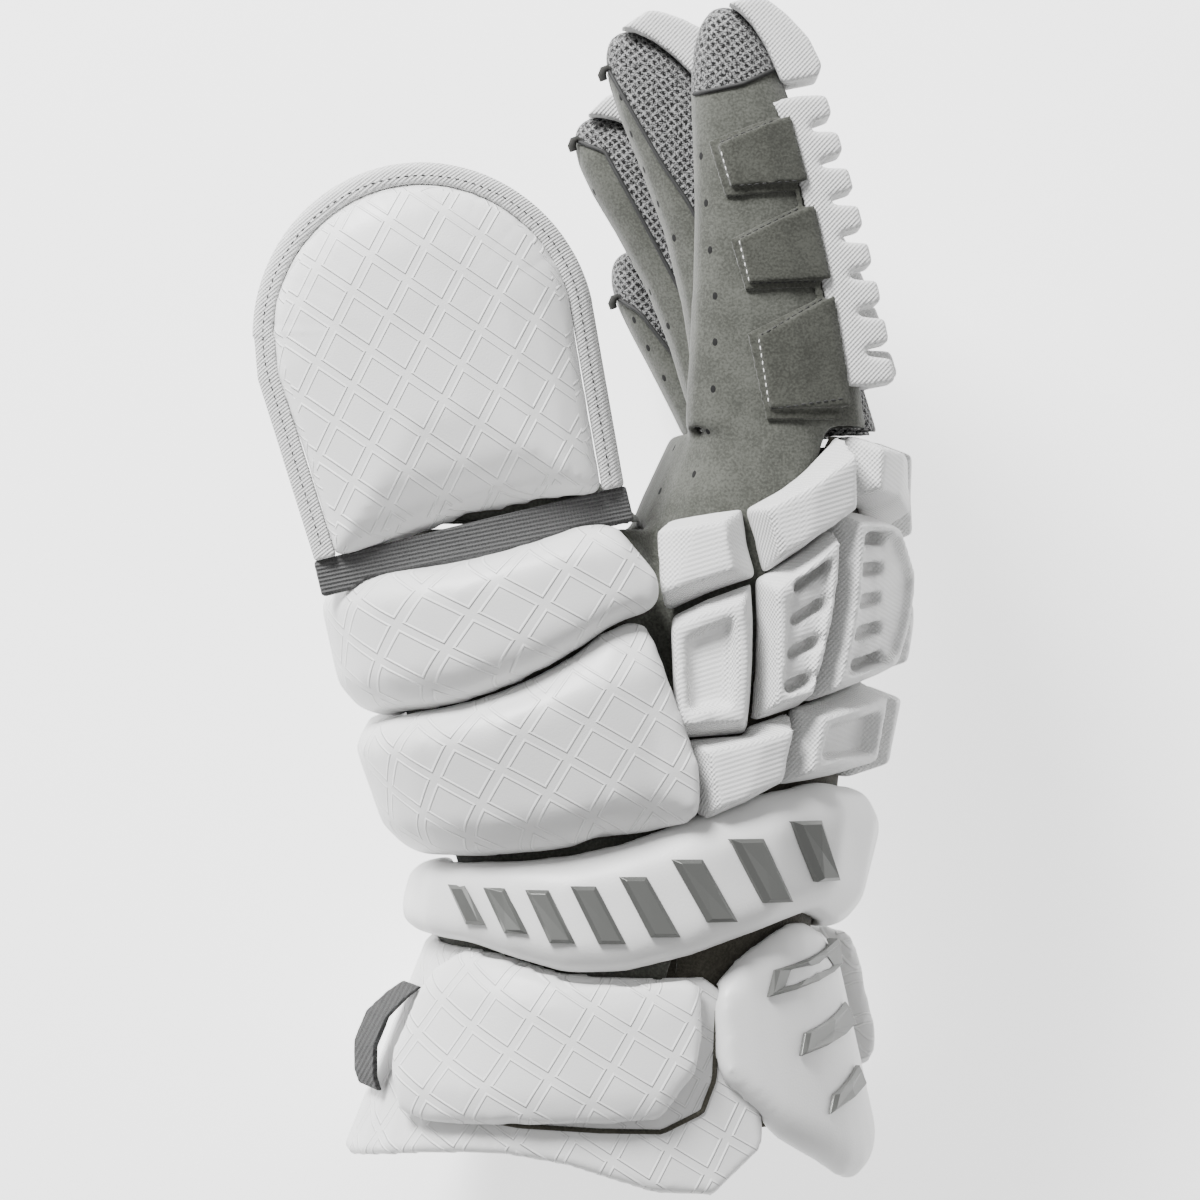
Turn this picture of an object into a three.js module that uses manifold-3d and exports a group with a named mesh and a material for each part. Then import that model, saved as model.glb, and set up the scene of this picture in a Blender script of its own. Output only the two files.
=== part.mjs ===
// A lacrosse glove for the left hand, lying on its little-finger side with the thumb side up.
// +Y runs from the cuff to the fingertips, +X from the palm to the back of the hand, +Z from the little finger to the thumb.
import * as THREE from "three";
import { mergeVertices } from "three/addons/utils/BufferGeometryUtils.js";
import Module from "manifold-3d";

const wasm = await Module();
wasm.setup();

// Driving dimensions, in millimetres and degrees
const GAP = 0.3; // clearance between pieces that are sewn or seated together
const FACET_TOLERANCE = 0.14; // how far a face may move to save triangles
const BODY_LENGTH = 207; // cuff mouth to finger roots
const BODY_THICKNESS = 78; // palm to back, across the middle of the hand
const BODY_BREADTH = 106; // little-finger side to index side
const BODY_MIDDLE_Z = 64.5;
const CUFF_END_Y = -160;
const LINER_WALL = 2.2;
const THUMB_BASE_LENGTH = 100; // wrist to the thumb's root, under the rolls
const THUMB_LENGTH = 98; // thumb's root to its tip
const THUMB_REACH = 66; // hand's middle line to the thumb's palm edge
const THUMB_RISE = 58; // hand's middle height to the thumb's top
const STALL_WALL = 1.6;
const FINGER_BREADTH = 25.6;
const FINGER_PITCH = 26.4;
const FINGER_DEPTH = 51; // palm to back at a finger's root
const OVERLAY_THICKNESS = 1.4;
const LOBE_THICKNESS = 3.2;
const COMB_BASE = 2.4;
const COMB_TOOTH = 9.5;
const COMB_PITCH = 10.1;
const COMB_TOOTH_WIDTH = 8;
const COMB_BREADTH = 21;
const TIP_PAD_BREADTH = 22;
const TIP_PAD_TUCK = 1.2; // how far the pad reaches in past the finger's back edge
const BLOCK_HEIGHT = 14.5; // foam blocks on the back of the hand
const BLOCK_CHAMFER = 3.8;
const BLOCK_FOOT = 4.2; // height where a block's bevel starts
const POCKET_DEPTH = 3.2;
const WINDOW_DEPTH = 5;
const SLOT_DEPTH = 9;
const ROLL_THICKNESS = 15.5;
const HEEL_ROLL_THICKNESS = 19; // roll on the little-finger side, which the glove lies on
const FLOOR_Z = -2.7; // the padded pieces that the glove lies on are pressed flat here
const BAR_THICKNESS = 13;
const RIB_THICKNESS = 1.6; // raised silver trim
const PAD_RADIUS = 47.5; // thumb pad's round end, outside its binding
const PAD_TAPER_LENGTH = 53;
const PAD_BASE_HALF = 44;
const PAD_TURN = 13.7;
const PAD_CROWN = 7.5;
const PAD_THICKNESS = 5;
const BINDING_WIDTH = 6.2;
const BINDING_THICKNESS = 5.4;
const ELASTIC_WIDTH = 9.4;
const ELASTIC_THICKNESS = 2.4;
const CUFF_PAD_THICKNESS = 9.5;
const PLATE_THICKNESS = 8;
const FLARE_THICKNESS = 3.2;
const TAB_REACH = 6;
const WEBBING_THICKNESS = 1.5;

const ROUND = 24; // points round a body section
const FINE = 14; // points round a finger

const WHITE_VINYL = { color: 0xd9d9d9, roughness: 0.5, metalness: 0 };
const WHITE_FOAM = { color: 0xd4d4d4, roughness: 0.75, metalness: 0 };
const SUEDE = { color: 0x6d6e66, roughness: 0.95, metalness: 0 };
const KNIT = { color: 0x606060, roughness: 0.9, metalness: 0 };
const ELASTIC = { color: 0x626262, roughness: 0.9, metalness: 0 };
const SILVER = { color: 0x9a9c97, roughness: 0.35, metalness: 0.8 };
const LINING = { color: 0x5d5a4e, roughness: 0.95, metalness: 0 };
const WEBBING = { color: 0x4a4a4a, roughness: 0.9, metalness: 0 };

const glove = new THREE.Group();
const radians = THREE.MathUtils.degToRad;

// Closed meshes and booleans

function solidOf(geometry) {
  const bare = new THREE.BufferGeometry().setAttribute("position", geometry.getAttribute("position"));
  if (geometry.index) bare.setIndex(geometry.index);
  const merged = mergeVertices(bare, 1e-4);
  const position = merged.attributes.position.array;
  const triVerts = new Uint32Array(merged.index.array);
  const solid = new wasm.Manifold(new wasm.Mesh({ numProp: 3, vertProperties: position, triVerts }));
  if (solid.volume() >= 0) return solid;
  for (let i = 0; i < triVerts.length; i += 3) [triVerts[i], triVerts[i + 1]] = [triVerts[i + 1], triVerts[i]];
  return new wasm.Manifold(new wasm.Mesh({ numProp: 3, vertProperties: position, triVerts }));
}

function geometryOf(solid) {
  const mesh = solid.getMesh();
  const geometry = new THREE.BufferGeometry();
  geometry.setAttribute("position", new THREE.BufferAttribute(new Float32Array(mesh.vertProperties), 3));
  geometry.setIndex(new THREE.BufferAttribute(new Uint32Array(mesh.triVerts), 1));
  geometry.computeVertexNormals();
  return geometry;
}

function addPiece(name, solid, finish) {
  const largest = solid.simplify(FACET_TOLERANCE).decompose().sort((a, b) => b.volume() - a.volume())[0];
  const mesh = new THREE.Mesh(geometryOf(largest), new THREE.MeshStandardMaterial({ name, ...finish }));
  mesh.name = name;
  glove.add(mesh);
}

// Skins a row of rings, each with as many points as the first, and closes both ends.
function loft(rings) {
  const count = rings[0].length;
  const points = rings.flat();
  const faces = [];
  for (let r = 0; r + 1 < rings.length; r++) {
    for (let i = 0; i < count; i++) {
      const a = r * count + i;
      const b = r * count + ((i + 1) % count);
      faces.push(a, b, b + count, a, b + count, a + count);
    }
  }
  for (const [ring, start, flip] of [[rings[0], 0, true], [rings.at(-1), (rings.length - 1) * count, false]]) {
    const middle = ring.reduce((sum, p) => sum.add(p), new THREE.Vector3()).divideScalar(count);
    const hub = points.push(middle) - 1;
    for (let i = 0; i < count; i++) {
      const a = start + i;
      const b = start + ((i + 1) % count);
      faces.push(...(flip ? [hub, b, a] : [hub, a, b]));
    }
  }
  const geometry = new THREE.BufferGeometry().setFromPoints(points);
  geometry.setIndex(faces);
  return solidOf(geometry);
}

// An upright prism over an outline in the XY plane.
function prism(outline, low, high) {
  const shape = new THREE.Shape(outline.map(([x, y]) => new THREE.Vector2(x, y)));
  const geometry = new THREE.ExtrudeGeometry(shape, { depth: high - low, bevelEnabled: false });
  geometry.translate(0, 0, low);
  return solidOf(geometry.deleteAttribute("uv").deleteAttribute("normal"));
}

// A smooth value between the rows of a table, at a place in its rising column "by".
function between(rows, key, at, by = "along") {
  let i = 0;
  while (i < rows.length - 2 && at > rows[i + 1][by]) i++;
  const [a, b] = [rows[i], rows[i + 1]];
  const before = rows[Math.max(0, i - 1)];
  const after = rows[Math.min(rows.length - 1, i + 2)];
  const span = b[by] - a[by];
  const t = THREE.MathUtils.clamp((at - a[by]) / span, 0, 1);
  const slopeA = ((b[key] - before[key]) / (b[by] - before[by])) * span;
  const slopeB = ((after[key] - a[key]) / (after[by] - a[by])) * span;
  const t2 = t * t;
  const t3 = t2 * t;
  return (
    (2 * t3 - 3 * t2 + 1) * a[key] + (t3 - 2 * t2 + t) * slopeA + (3 * t2 - 2 * t3) * b[key] + (t3 - t2) * slopeB
  );
}

const rounded = (value, power) => Math.sign(value) * Math.abs(value) ** (2 / power);

// The hand's body: shares of its thickness and breadth at stations from the cuff's mouth to the finger roots
const BODY_ROWS = [
  { along: 0.0, middle: 0.01, thick: 0.92, broad: 0.59 },
  { along: 0.164, middle: 0.04, thick: 0.81, broad: 0.56 },
  { along: 0.3, middle: 0.085, thick: 0.685, broad: 0.52 },
  { along: 0.435, middle: 0.18, thick: 0.68, broad: 0.49 },
  { along: 0.541, middle: 0.27, thick: 0.61, broad: 0.49 },
  { along: 0.638, middle: 0.38, thick: 0.55, broad: 0.49 },
  { along: 0.773, middle: 0.49, thick: 0.49, broad: 0.49 },
  { along: 0.899, middle: 0.55, thick: 0.41, broad: 0.5 },
  { along: 1.0, middle: 0.615, thick: 0.35, broad: 0.5 },
];
const BODY_POWER = 2.5;

// A point at an angle round the body, turned from the back of the hand towards the thumb side, and a height above it.
function onBody(angle, y, height) {
  const along = (y - CUFF_END_Y) / BODY_LENGTH;
  const x = between(BODY_ROWS, "middle", along) * BODY_THICKNESS;
  const halfX = between(BODY_ROWS, "thick", along) * BODY_THICKNESS + height;
  const halfZ = between(BODY_ROWS, "broad", along) * BODY_BREADTH + height;
  const turn = radians(angle);
  return new THREE.Vector3(
    x + halfX * rounded(Math.cos(turn), BODY_POWER),
    y,
    BODY_MIDDLE_Z + halfZ * rounded(Math.sin(turn), BODY_POWER),
  );
}

function bodyForm(height, from, to, steps) {
  const rings = [];
  for (let r = 0; r <= steps; r++) {
    const y = THREE.MathUtils.lerp(from, to, r / steps);
    rings.push(Array.from({ length: ROUND }, (_, i) => onBody((360 * i) / ROUND, y, height)));
  }
  return loft(rings);
}

const ROOT_Y = CUFF_END_Y + BODY_LENGTH;

// The thumb's base and stall from wrist to tip: palm and back edges as shares of its reach, top and bottom as shares of its rise
const THUMB_START_Y = -80;
const THUMB_ROWS = [
  { along: 0, palm: -0.58, back: 0.33, top: 0.82, bottom: -0.42 },
  { along: 0.16, palm: -0.76, back: 0.41, top: 0.96, bottom: -0.49 },
  { along: 0.3, palm: -0.88, back: 0.41, top: 0.99, bottom: -0.49 },
  { along: 0.42, palm: -0.95, back: 0.36, top: 0.99, bottom: -0.35 },
  { along: 0.5, palm: -0.94, back: 0.24, top: 0.99, bottom: -0.11 },
  { along: 0.58, palm: -0.91, back: -0.03, top: 0.97, bottom: 0.16 },
  { along: 0.68, palm: -0.94, back: -0.27, top: 0.96, bottom: 0.34 },
  { along: 0.82, palm: -1.00, back: -0.41, top: 0.94, bottom: 0.37 },
  { along: 0.93, palm: -0.98, back: -0.50, top: 0.91, bottom: 0.42 },
  { along: 0.98, palm: -0.89, back: -0.61, top: 0.82, bottom: 0.53 },
  { along: 1, palm: -0.79, back: -0.71, top: 0.72, bottom: 0.65 },
];
const THUMB_POWER = 2.7;
const THUMB_SPAN = THUMB_BASE_LENGTH + THUMB_LENGTH;
const THUMB_ROOT_Y = THUMB_START_Y + THUMB_BASE_LENGTH;

function onThumb(angle, y, height) {
  const along = (y - THUMB_START_Y) / THUMB_SPAN;
  const [palm, back] = ["palm", "back"].map((key) => between(THUMB_ROWS, key, along) * THUMB_REACH);
  const [top, bottom] = ["top", "bottom"].map((key) => BODY_MIDDLE_Z + between(THUMB_ROWS, key, along) * THUMB_RISE);
  const turn = radians(angle);
  return new THREE.Vector3(
    (palm + back) / 2 + ((back - palm) / 2 + height) * rounded(Math.cos(turn), THUMB_POWER),
    y,
    (top + bottom) / 2 + ((top - bottom) / 2 + height) * rounded(Math.sin(turn), THUMB_POWER),
  );
}

function thumbForm(height, from, to, steps, count = 18) {
  const rings = [];
  for (let r = 0; r <= steps; r++) {
    const y = THREE.MathUtils.lerp(from, to, r / steps);
    rings.push(Array.from({ length: count }, (_, i) => onThumb((360 * i) / count, y, height)));
  }
  return loft(rings);
}

// Hand liner: a suede palm half and a back half, which meet along a slanted seam, and the thumb's stall
const THUMB_TIP_Y = THUMB_START_Y + THUMB_SPAN;
const palmJoin = (side) => {
  const lowX = onBody(90, CUFF_END_Y, 0).x;
  const highX = onBody(62, ROOT_Y, 0).x;
  const far = BODY_THICKNESS * 3;
  const shift = (side * GAP) / 2;
  return prism(
    [
      [lowX + shift, CUFF_END_Y - 5],
      [lowX + side * far, CUFF_END_Y - 5],
      [highX + side * far, ROOT_Y + far],
      [highX + shift, ROOT_Y + far],
      [highX + shift, ROOT_Y],
    ],
    -far,
    far,
  );
};
const LINER_END_Y = CUFF_END_Y + BODY_LENGTH * 0.06; // it stops short of the cuff's outer layer
const linerForm = (height, endReach) =>
  bodyForm(height, LINER_END_Y - endReach, ROOT_Y + endReach, 11).add(
    thumbForm(height, THUMB_START_Y + 1 - height, THUMB_ROOT_Y + endReach, 5),
  );
const linerOuter = linerForm(0, 0);
const linerKeepOut = linerForm(GAP, GAP);
const liner = linerOuter.subtract(linerForm(-LINER_WALL, 1));
addPiece("palm_suede", liner.intersect(palmJoin(-1)), SUEDE);
addPiece("back_lining", liner.intersect(palmJoin(1)), LINING);

const STALL_OVERHANG = 0.5;
const thumbStall = thumbForm(0, THUMB_ROOT_Y + GAP, THUMB_TIP_Y, 9, 14);
const thumbHollow = thumbForm(-STALL_WALL, THUMB_ROOT_Y - STALL_OVERHANG, THUMB_TIP_Y - STALL_WALL * 3, 8, 14);
const thumbKeepOut = thumbForm(GAP, THUMB_ROOT_Y - STALL_OVERHANG, THUMB_TIP_Y + GAP, 9, 14);
addPiece("thumb_stall", thumbStall.subtract(thumbHollow).subtract(bodyForm(GAP, CUFF_END_Y, ROOT_Y + 1, 11)), SUEDE);

// Finger stalls: each row's root, length, and its lean towards the palm at the root and at the tip
const FINGERS = [
  { name: "index", rootX: 49, length: 119, lean: 3, tipLean: 12, depth: 1.0, place: 1.5 },
  { name: "middle", rootX: 54, length: 125, lean: 13, tipLean: 34, depth: 1.0, place: 0.5 },
  { name: "ring", rootX: 54, length: 110, lean: 22, tipLean: 44, depth: 1.0, place: -0.5 },
  { name: "pinky", rootX: 49, length: 70, lean: 38, tipLean: 38, depth: 0.82, place: -1.5 },
];
const FINGER_ROWS = [
  { along: 0.0, depth: 1.0, breadth: 1.0 },
  { along: 0.24, depth: 0.87, breadth: 0.99 },
  { along: 0.5, depth: 0.7, breadth: 0.97 },
  { along: 0.76, depth: 0.54, breadth: 0.9 },
  { along: 0.89, depth: 0.42, breadth: 0.76 },
  { along: 0.97, depth: 0.25, breadth: 0.5 },
  { along: 1.0, depth: 0.1, breadth: 0.2 },
];
const FINGER_POWER = 2.3;
const STALL_STATIONS = [0, 0.18, 0.36, 0.54, 0.72, 0.84, 0.92, 0.975, 1];
const HOLLOW_END = 0.93;

// The finger's centre line, its lean and its section at a share of its length.
function fingerAt(finger, share) {
  const steps = 24;
  const point = new THREE.Vector3(finger.rootX, ROOT_Y + GAP, BODY_MIDDLE_Z + finger.place * FINGER_PITCH);
  const leanAt = (s) => radians(THREE.MathUtils.lerp(finger.lean, finger.tipLean, s * s * (3 - 2 * s)));
  for (let i = 0; i < steps; i++) {
    const lean = leanAt(((i + 0.5) / steps) * share);
    point.x -= (Math.sin(lean) * finger.length * share) / steps;
    point.y += (Math.cos(lean) * finger.length * share) / steps;
  }
  return {
    point,
    lean: leanAt(share) * Math.min(1, share * 4),
    halfDepth: (between(FINGER_ROWS, "depth", share) * finger.depth * FINGER_DEPTH) / 2,
    halfBreadth: (between(FINGER_ROWS, "breadth", share) * FINGER_BREADTH) / 2,
  };
}

function fingerPoint(finger, share, angle, height) {
  const { point, lean, halfDepth, halfBreadth } = fingerAt(finger, share);
  const turn = radians(angle);
  const across = (halfDepth + height) * rounded(Math.cos(turn), FINGER_POWER);
  const up = (halfBreadth + height) * rounded(Math.sin(turn), FINGER_POWER);
  return new THREE.Vector3(point.x + across * Math.cos(lean), point.y + across * Math.sin(lean), point.z + up);
}

function fingerForm(finger, height, tipHeight) {
  const rings = STALL_STATIONS.map((share) =>
    Array.from({ length: FINE }, (_, i) => fingerPoint(finger, share, (360 * i) / FINE, height)),
  );
  const last = STALL_STATIONS.length - 1;
  const { point, lean } = fingerAt(finger, 1);
  const push = new THREE.Vector3(-Math.sin(lean), Math.cos(lean), 0).multiplyScalar(tipHeight);
  rings[last] = rings[last].map((p) => p.clone().sub(point).multiplyScalar(0.9).add(point).add(push));
  return loft(rings);
}

function fingerHollow(finger) {
  const shares = STALL_STATIONS.filter((share) => share <= HOLLOW_END);
  const rings = shares.map((share) =>
    Array.from({ length: FINE }, (_, i) => fingerPoint(finger, share, (360 * i) / FINE, -STALL_WALL)),
  );
  rings.unshift(rings[0].map((p) => p.clone().setY(p.y - STALL_OVERHANG)));
  return loft(rings);
}

const fingerKeepOuts = [];
for (const finger of FINGERS) {
  addPiece(finger.name + "_stall", fingerForm(finger, 0, 0).subtract(fingerHollow(finger)), finger.place > 1 ? SUEDE : KNIT);
  fingerKeepOuts.push(fingerForm(finger, GAP, GAP));
}

// Foam along the back of each finger: a slotted strip and a thick pad at the tip
const COMB_FIRST = 0.095; // share of the length where the first tooth sits
const TIP_PAD_START = 0.79;
const TIP_PAD_ROWS = [
  { along: TIP_PAD_START, reach: 0.44 },
  { along: 0.815, reach: 0.47 },
  { along: 0.88, reach: 0.43 },
  { along: 0.94, reach: 0.345 },
  { along: 0.98, reach: 0.27 },
  { along: 1.0, reach: 0.21 },
];

// A point on the back side of a finger, a distance out from its centre line or a height above its surface.
function outFrom(finger, share, reach) {
  const { point, lean } = fingerAt(finger, share);
  return [point.x + reach * Math.cos(lean), point.y + reach * Math.sin(lean)];
}
const dorsalPoint = (finger, share, height) => outFrom(finger, share, fingerAt(finger, share).halfDepth + height);

for (const [i, finger] of FINGERS.entries()) {
  const middle = BODY_MIDDLE_Z + finger.place * FINGER_PITCH;
  const teeth = Math.floor(((TIP_PAD_START - COMB_FIRST) * finger.length) / COMB_PITCH);
  const top = [];
  for (let t = 0; t < teeth; t++) {
    const start = COMB_FIRST + (t * COMB_PITCH) / finger.length;
    const end = start + COMB_TOOTH_WIDTH / finger.length;
    const slope = (0.8 * COMB_TOOTH_WIDTH) / (6 * finger.length);
    top.push(
      dorsalPoint(finger, start, COMB_BASE),
      dorsalPoint(finger, start + slope, COMB_TOOTH),
      dorsalPoint(finger, end - slope, COMB_TOOTH),
      dorsalPoint(finger, end, COMB_BASE),
    );
  }
  const lastShare = COMB_FIRST + ((teeth - 1) * COMB_PITCH + COMB_TOOTH_WIDTH) / finger.length;
  const under = [lastShare, (lastShare + COMB_FIRST) / 2, COMB_FIRST].map((s) => dorsalPoint(finger, s, -6));
  const comb = prism([...top, ...under], middle - COMB_BREADTH / 2, middle + COMB_BREADTH / 2);
  addPiece(finger.name + "_comb", comb.subtract(fingerKeepOuts[i]), WHITE_FOAM);

  const depth = FINGER_DEPTH * finger.depth;
  const outer = TIP_PAD_ROWS.map((row) => outFrom(finger, row.along, row.reach * depth));
  const inner = [...TIP_PAD_ROWS].reverse().map((row) => dorsalPoint(finger, row.along, -TIP_PAD_TUCK));
  const pad = prism([...outer, ...inner], middle - TIP_PAD_BREADTH / 2, middle + TIP_PAD_BREADTH / 2);
  addPiece(finger.name + "_tip_pad", pad.subtract(fingerKeepOuts[i]), WHITE_FOAM);
}

// Pads laid over the hand. Outlines are lists of [degrees round the body, y in millimetres].

const DEGREE_LENGTH = radians(1) * BODY_BREADTH * 0.55; // one degree's length on the pads' outer face
const bodyY = (along) => CUFF_END_Y + along * BODY_LENGTH;

// Moves each side of a convex outline inwards.
function inset(outline, distance) {
  const flat = outline.map(([turn, y]) => new THREE.Vector2(turn * DEGREE_LENGTH, y));
  const way = THREE.ShapeUtils.area(flat) > 0 ? 1 : -1;
  const normal = (a, b) => new THREE.Vector2(a.y - b.y, b.x - a.x).normalize().multiplyScalar(way);
  return flat.map((point, i) => {
    const first = normal(flat.at(i - 1), point);
    const second = normal(point, flat[(i + 1) % flat.length]);
    const push = first.clone().add(second).multiplyScalar(distance / (1 + first.dot(second)));
    return [(point.x + push.x) / DEGREE_LENGTH, point.y + push.y];
  });
}

// Adds points along the sides of an outline, so that it follows the surface it is laid on.
function dense(outline, step = 12) {
  return outline.flatMap((point, i) => {
    const next = outline[(i + 1) % outline.length];
    const count = Math.max(1, Math.round(Math.hypot(next[0] - point[0], next[1] - point[1]) / step));
    return Array.from({ length: count }, (_, k) => [
      THREE.MathUtils.lerp(point[0], next[0], k / count),
      THREE.MathUtils.lerp(point[1], next[1], k / count),
    ]);
  });
}

// A solid that stands on an outline and narrows with height. Each level is [height, distance moved in].
function pillar(surface, outline, levels) {
  const count = dense(outline).length;
  return loft(
    levels.map(([height, distance]) => {
      const corners = inset(outline, distance);
      const full = dense(outline).map(([turn, y]) => [turn, y]);
      const middleOf = (list) => list.reduce(([a, b], [c, d]) => [a + c / list.length, b + d / list.length], [0, 0]);
      const [fromMiddle, toMiddle] = [middleOf(outline), middleOf(corners)];
      const sizeOf = (list, key) => Math.max(...list.map((p) => p[key])) - Math.min(...list.map((p) => p[key]));
      const scale = [0, 1].map((key) => sizeOf(corners, key) / sizeOf(outline, key));
      return full.slice(0, count).map(([turn, y]) =>
        surface(
          toMiddle[0] + (turn - fromMiddle[0]) * scale[0],
          toMiddle[1] + (y - fromMiddle[1]) * scale[1],
          height,
        ),
      );
    }),
  );
}

// The outer face of hand and thumb together, out from the line x = HAND_CORE_X, z = BODY_MIDDLE_Z.
const HAND_CORE_X = -10;
function onHand(angle, y, height) {
  const inOval = (x, z, [middleX, middleZ, halfX, halfZ, power]) =>
    Math.abs((x - middleX) / (halfX + height)) ** power + Math.abs((z - middleZ) / (halfZ + height)) ** power < 1;
  const along = (y - CUFF_END_Y) / BODY_LENGTH;
  const [middle, thick] = ["middle", "thick"].map((key) => between(BODY_ROWS, key, along) * BODY_THICKNESS);
  const ovals = [[middle, BODY_MIDDLE_Z, thick, between(BODY_ROWS, "broad", along) * BODY_BREADTH, BODY_POWER]];
  if (y > THUMB_START_Y) {
    const [right, top, left, bottom] = [0, 90, 180, 270].map((turn) => onThumb(turn, y, 0));
    const [halfX, halfZ] = [(right.x - left.x) / 2, (top.z - bottom.z) / 2];
    ovals.push([(right.x + left.x) / 2, (top.z + bottom.z) / 2, halfX, halfZ, THUMB_POWER]);
  }
  const turn = radians(angle);
  const at = (reach) => [HAND_CORE_X + reach * Math.cos(turn), BODY_MIDDLE_Z + reach * Math.sin(turn)];
  const inside = (reach) => ovals.some((oval) => inOval(...at(reach), oval));
  let outer = BODY_BREADTH * 1.5;
  while (outer > 3 && !inside(outer - 3)) outer -= 3;
  let inner = outer - 3;
  for (let i = 0; i < 12; i++) {
    const middleReach = (inner + outer) / 2;
    if (inside(middleReach)) inner = middleReach;
    else outer = middleReach;
  }
  const [x, z] = at(inner);
  return new THREE.Vector3(x, y, z);
}

// A puffed band round the hand, between the low and high edges its rows give by turn, with a lift where they give one.
const BAND_PROFILE = [
  { across: 0.0, rise: 0.3 },
  { across: 0.05, rise: 0.72 },
  { across: 0.22, rise: 1 },
  { across: 0.78, rise: 1 },
  { across: 0.95, rise: 0.72 },
  { across: 1.0, rise: 0.3 },
];
function band(surface, rows, thickness, { base = GAP, steps = 14, grow = 0, profile = BAND_PROFILE } = {}) {
  const [first, last] = [rows[0].turn, rows.at(-1).turn];
  const endTurn = Math.sign(last - first) * 2;
  const stations = [[first - grow * 0.5 * Math.sign(endTurn), 0.55]];
  for (let i = 0; i <= steps; i++) stations.push([THREE.MathUtils.lerp(first + endTurn, last - endTurn, i / steps), 1]);
  stations.push([last + grow * 0.5 * Math.sign(endTurn), 0.55]);
  return loft(
    stations.map(([turn, swell]) => {
      const low = bodyY(between(rows, "low", turn, "turn")) - grow;
      const high = bodyY(between(rows, "high", turn, "turn")) + grow;
      const lift = rows[0].lift === undefined ? 0 : between(rows, "lift", turn, "turn") * thickness;
      const narrow = (1 - swell) * thickness * 0.4;
      const place = (across, height) =>
        surface(turn, THREE.MathUtils.lerp(low + narrow, high - narrow, across), height);
      const top = profile.map(({ across, rise }) =>
        place(across, base + lift + (thickness * rise + grow) * swell),
      );
      const under = [1, 0].map((across) => place(across, base + lift - grow));
      return [...top, ...under];
    }),
  );
}

// Rolled pads over the thumb's base, and the bar round the wrist; edges are shares of the body's length from the cuff
const ROLL_UPPER_ROWS = [
  { turn: 67, low: 0.764, high: 0.79 },
  { turn: 72, low: 0.752, high: 0.845 },
  { turn: 79, low: 0.736, high: 0.875 },
  { turn: 91, low: 0.693, high: 0.859 },
  { turn: 114, low: 0.641, high: 0.824 },
  { turn: 132, low: 0.626, high: 0.812 },
  { turn: 150, low: 0.618, high: 0.808 },
  { turn: 172, low: 0.62, high: 0.807 },
  { turn: 188, low: 0.628, high: 0.8 },
];
const ROLL_LOWER_ROWS = [
  { turn: 59, low: 0.478, high: 0.51 },
  { turn: 63, low: 0.472, high: 0.62 },
  { turn: 68, low: 0.464, high: 0.735 },
  { turn: 79, low: 0.455, high: 0.73 },
  { turn: 91, low: 0.441, high: 0.687 },
  { turn: 114, low: 0.433, high: 0.635 },
  { turn: 132, low: 0.43, high: 0.62 },
  { turn: 150, low: 0.428, high: 0.612 },
  { turn: 172, low: 0.428, high: 0.614 },
  { turn: 188, low: 0.436, high: 0.622 },
];
const HEEL_ROLL_ROWS = [
  { turn: 298, low: 0.56, high: 0.66 },
  { turn: 290, low: 0.52, high: 0.735 },
  { turn: 280, low: 0.5, high: 0.8 },
  { turn: 262, low: 0.49, high: 0.84 },
  { turn: 245, low: 0.49, high: 0.85 },
  { turn: 230, low: 0.51, high: 0.83 },
  { turn: 222, low: 0.56, high: 0.77 },
];
const BAR_ROWS = [
  { turn: -72, low: 0.33, high: 0.49 },
  { turn: -45, low: 0.32, high: 0.5 },
  { turn: -20, low: 0.316, high: 0.5 },
  { turn: 0, low: 0.315, high: 0.5 },
  { turn: 19, low: 0.335, high: 0.522 },
  { turn: 34, low: 0.352, high: 0.53 },
  { turn: 47, low: 0.324, high: 0.51 },
  { turn: 70, low: 0.283, high: 0.456 },
  { turn: 91, low: 0.278, high: 0.432 },
  { turn: 114, low: 0.31, high: 0.424 },
  { turn: 140, low: 0.316, high: 0.42 },
  { turn: 170, low: 0.321, high: 0.418 },
  { turn: 192, low: 0.33, high: 0.412 },
];
const barForm = (grow) => band(onHand, BAR_ROWS, BAR_THICKNESS, { steps: 18, grow });
const rollForm = (rows, grow) => band(onHand, rows, ROLL_THICKNESS, { grow });
const heelRollForm = (grow) => band(onHand, HEEL_ROLL_ROWS, HEEL_ROLL_THICKNESS, { grow }).trimByPlane([0, 0, 1], FLOOR_Z);
const barKeepOut = barForm(GAP);
const thumbSide = linerKeepOut.add(thumbKeepOut);
const ROLL_CLEARANCE = GAP + FACET_TOLERANCE;
const upperKeepOut = rollForm(ROLL_UPPER_ROWS, ROLL_CLEARANCE);
const rollsKeepOut = upperKeepOut.add(rollForm(ROLL_LOWER_ROWS, ROLL_CLEARANCE)).add(heelRollForm(ROLL_CLEARANCE));
const lowerRoll = rollForm(ROLL_LOWER_ROWS, 0).subtract(upperKeepOut).subtract(barKeepOut);
addPiece("roll_upper", rollForm(ROLL_UPPER_ROWS, 0).subtract(thumbSide), WHITE_VINYL);
addPiece("roll_lower", lowerRoll.subtract(thumbSide), WHITE_VINYL);
addPiece("heel_roll", heelRollForm(0).subtract(linerKeepOut).subtract(barKeepOut), WHITE_VINYL);
addPiece("wrist_bar", barForm(0).subtract(linerKeepOut), WHITE_FOAM);

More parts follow.
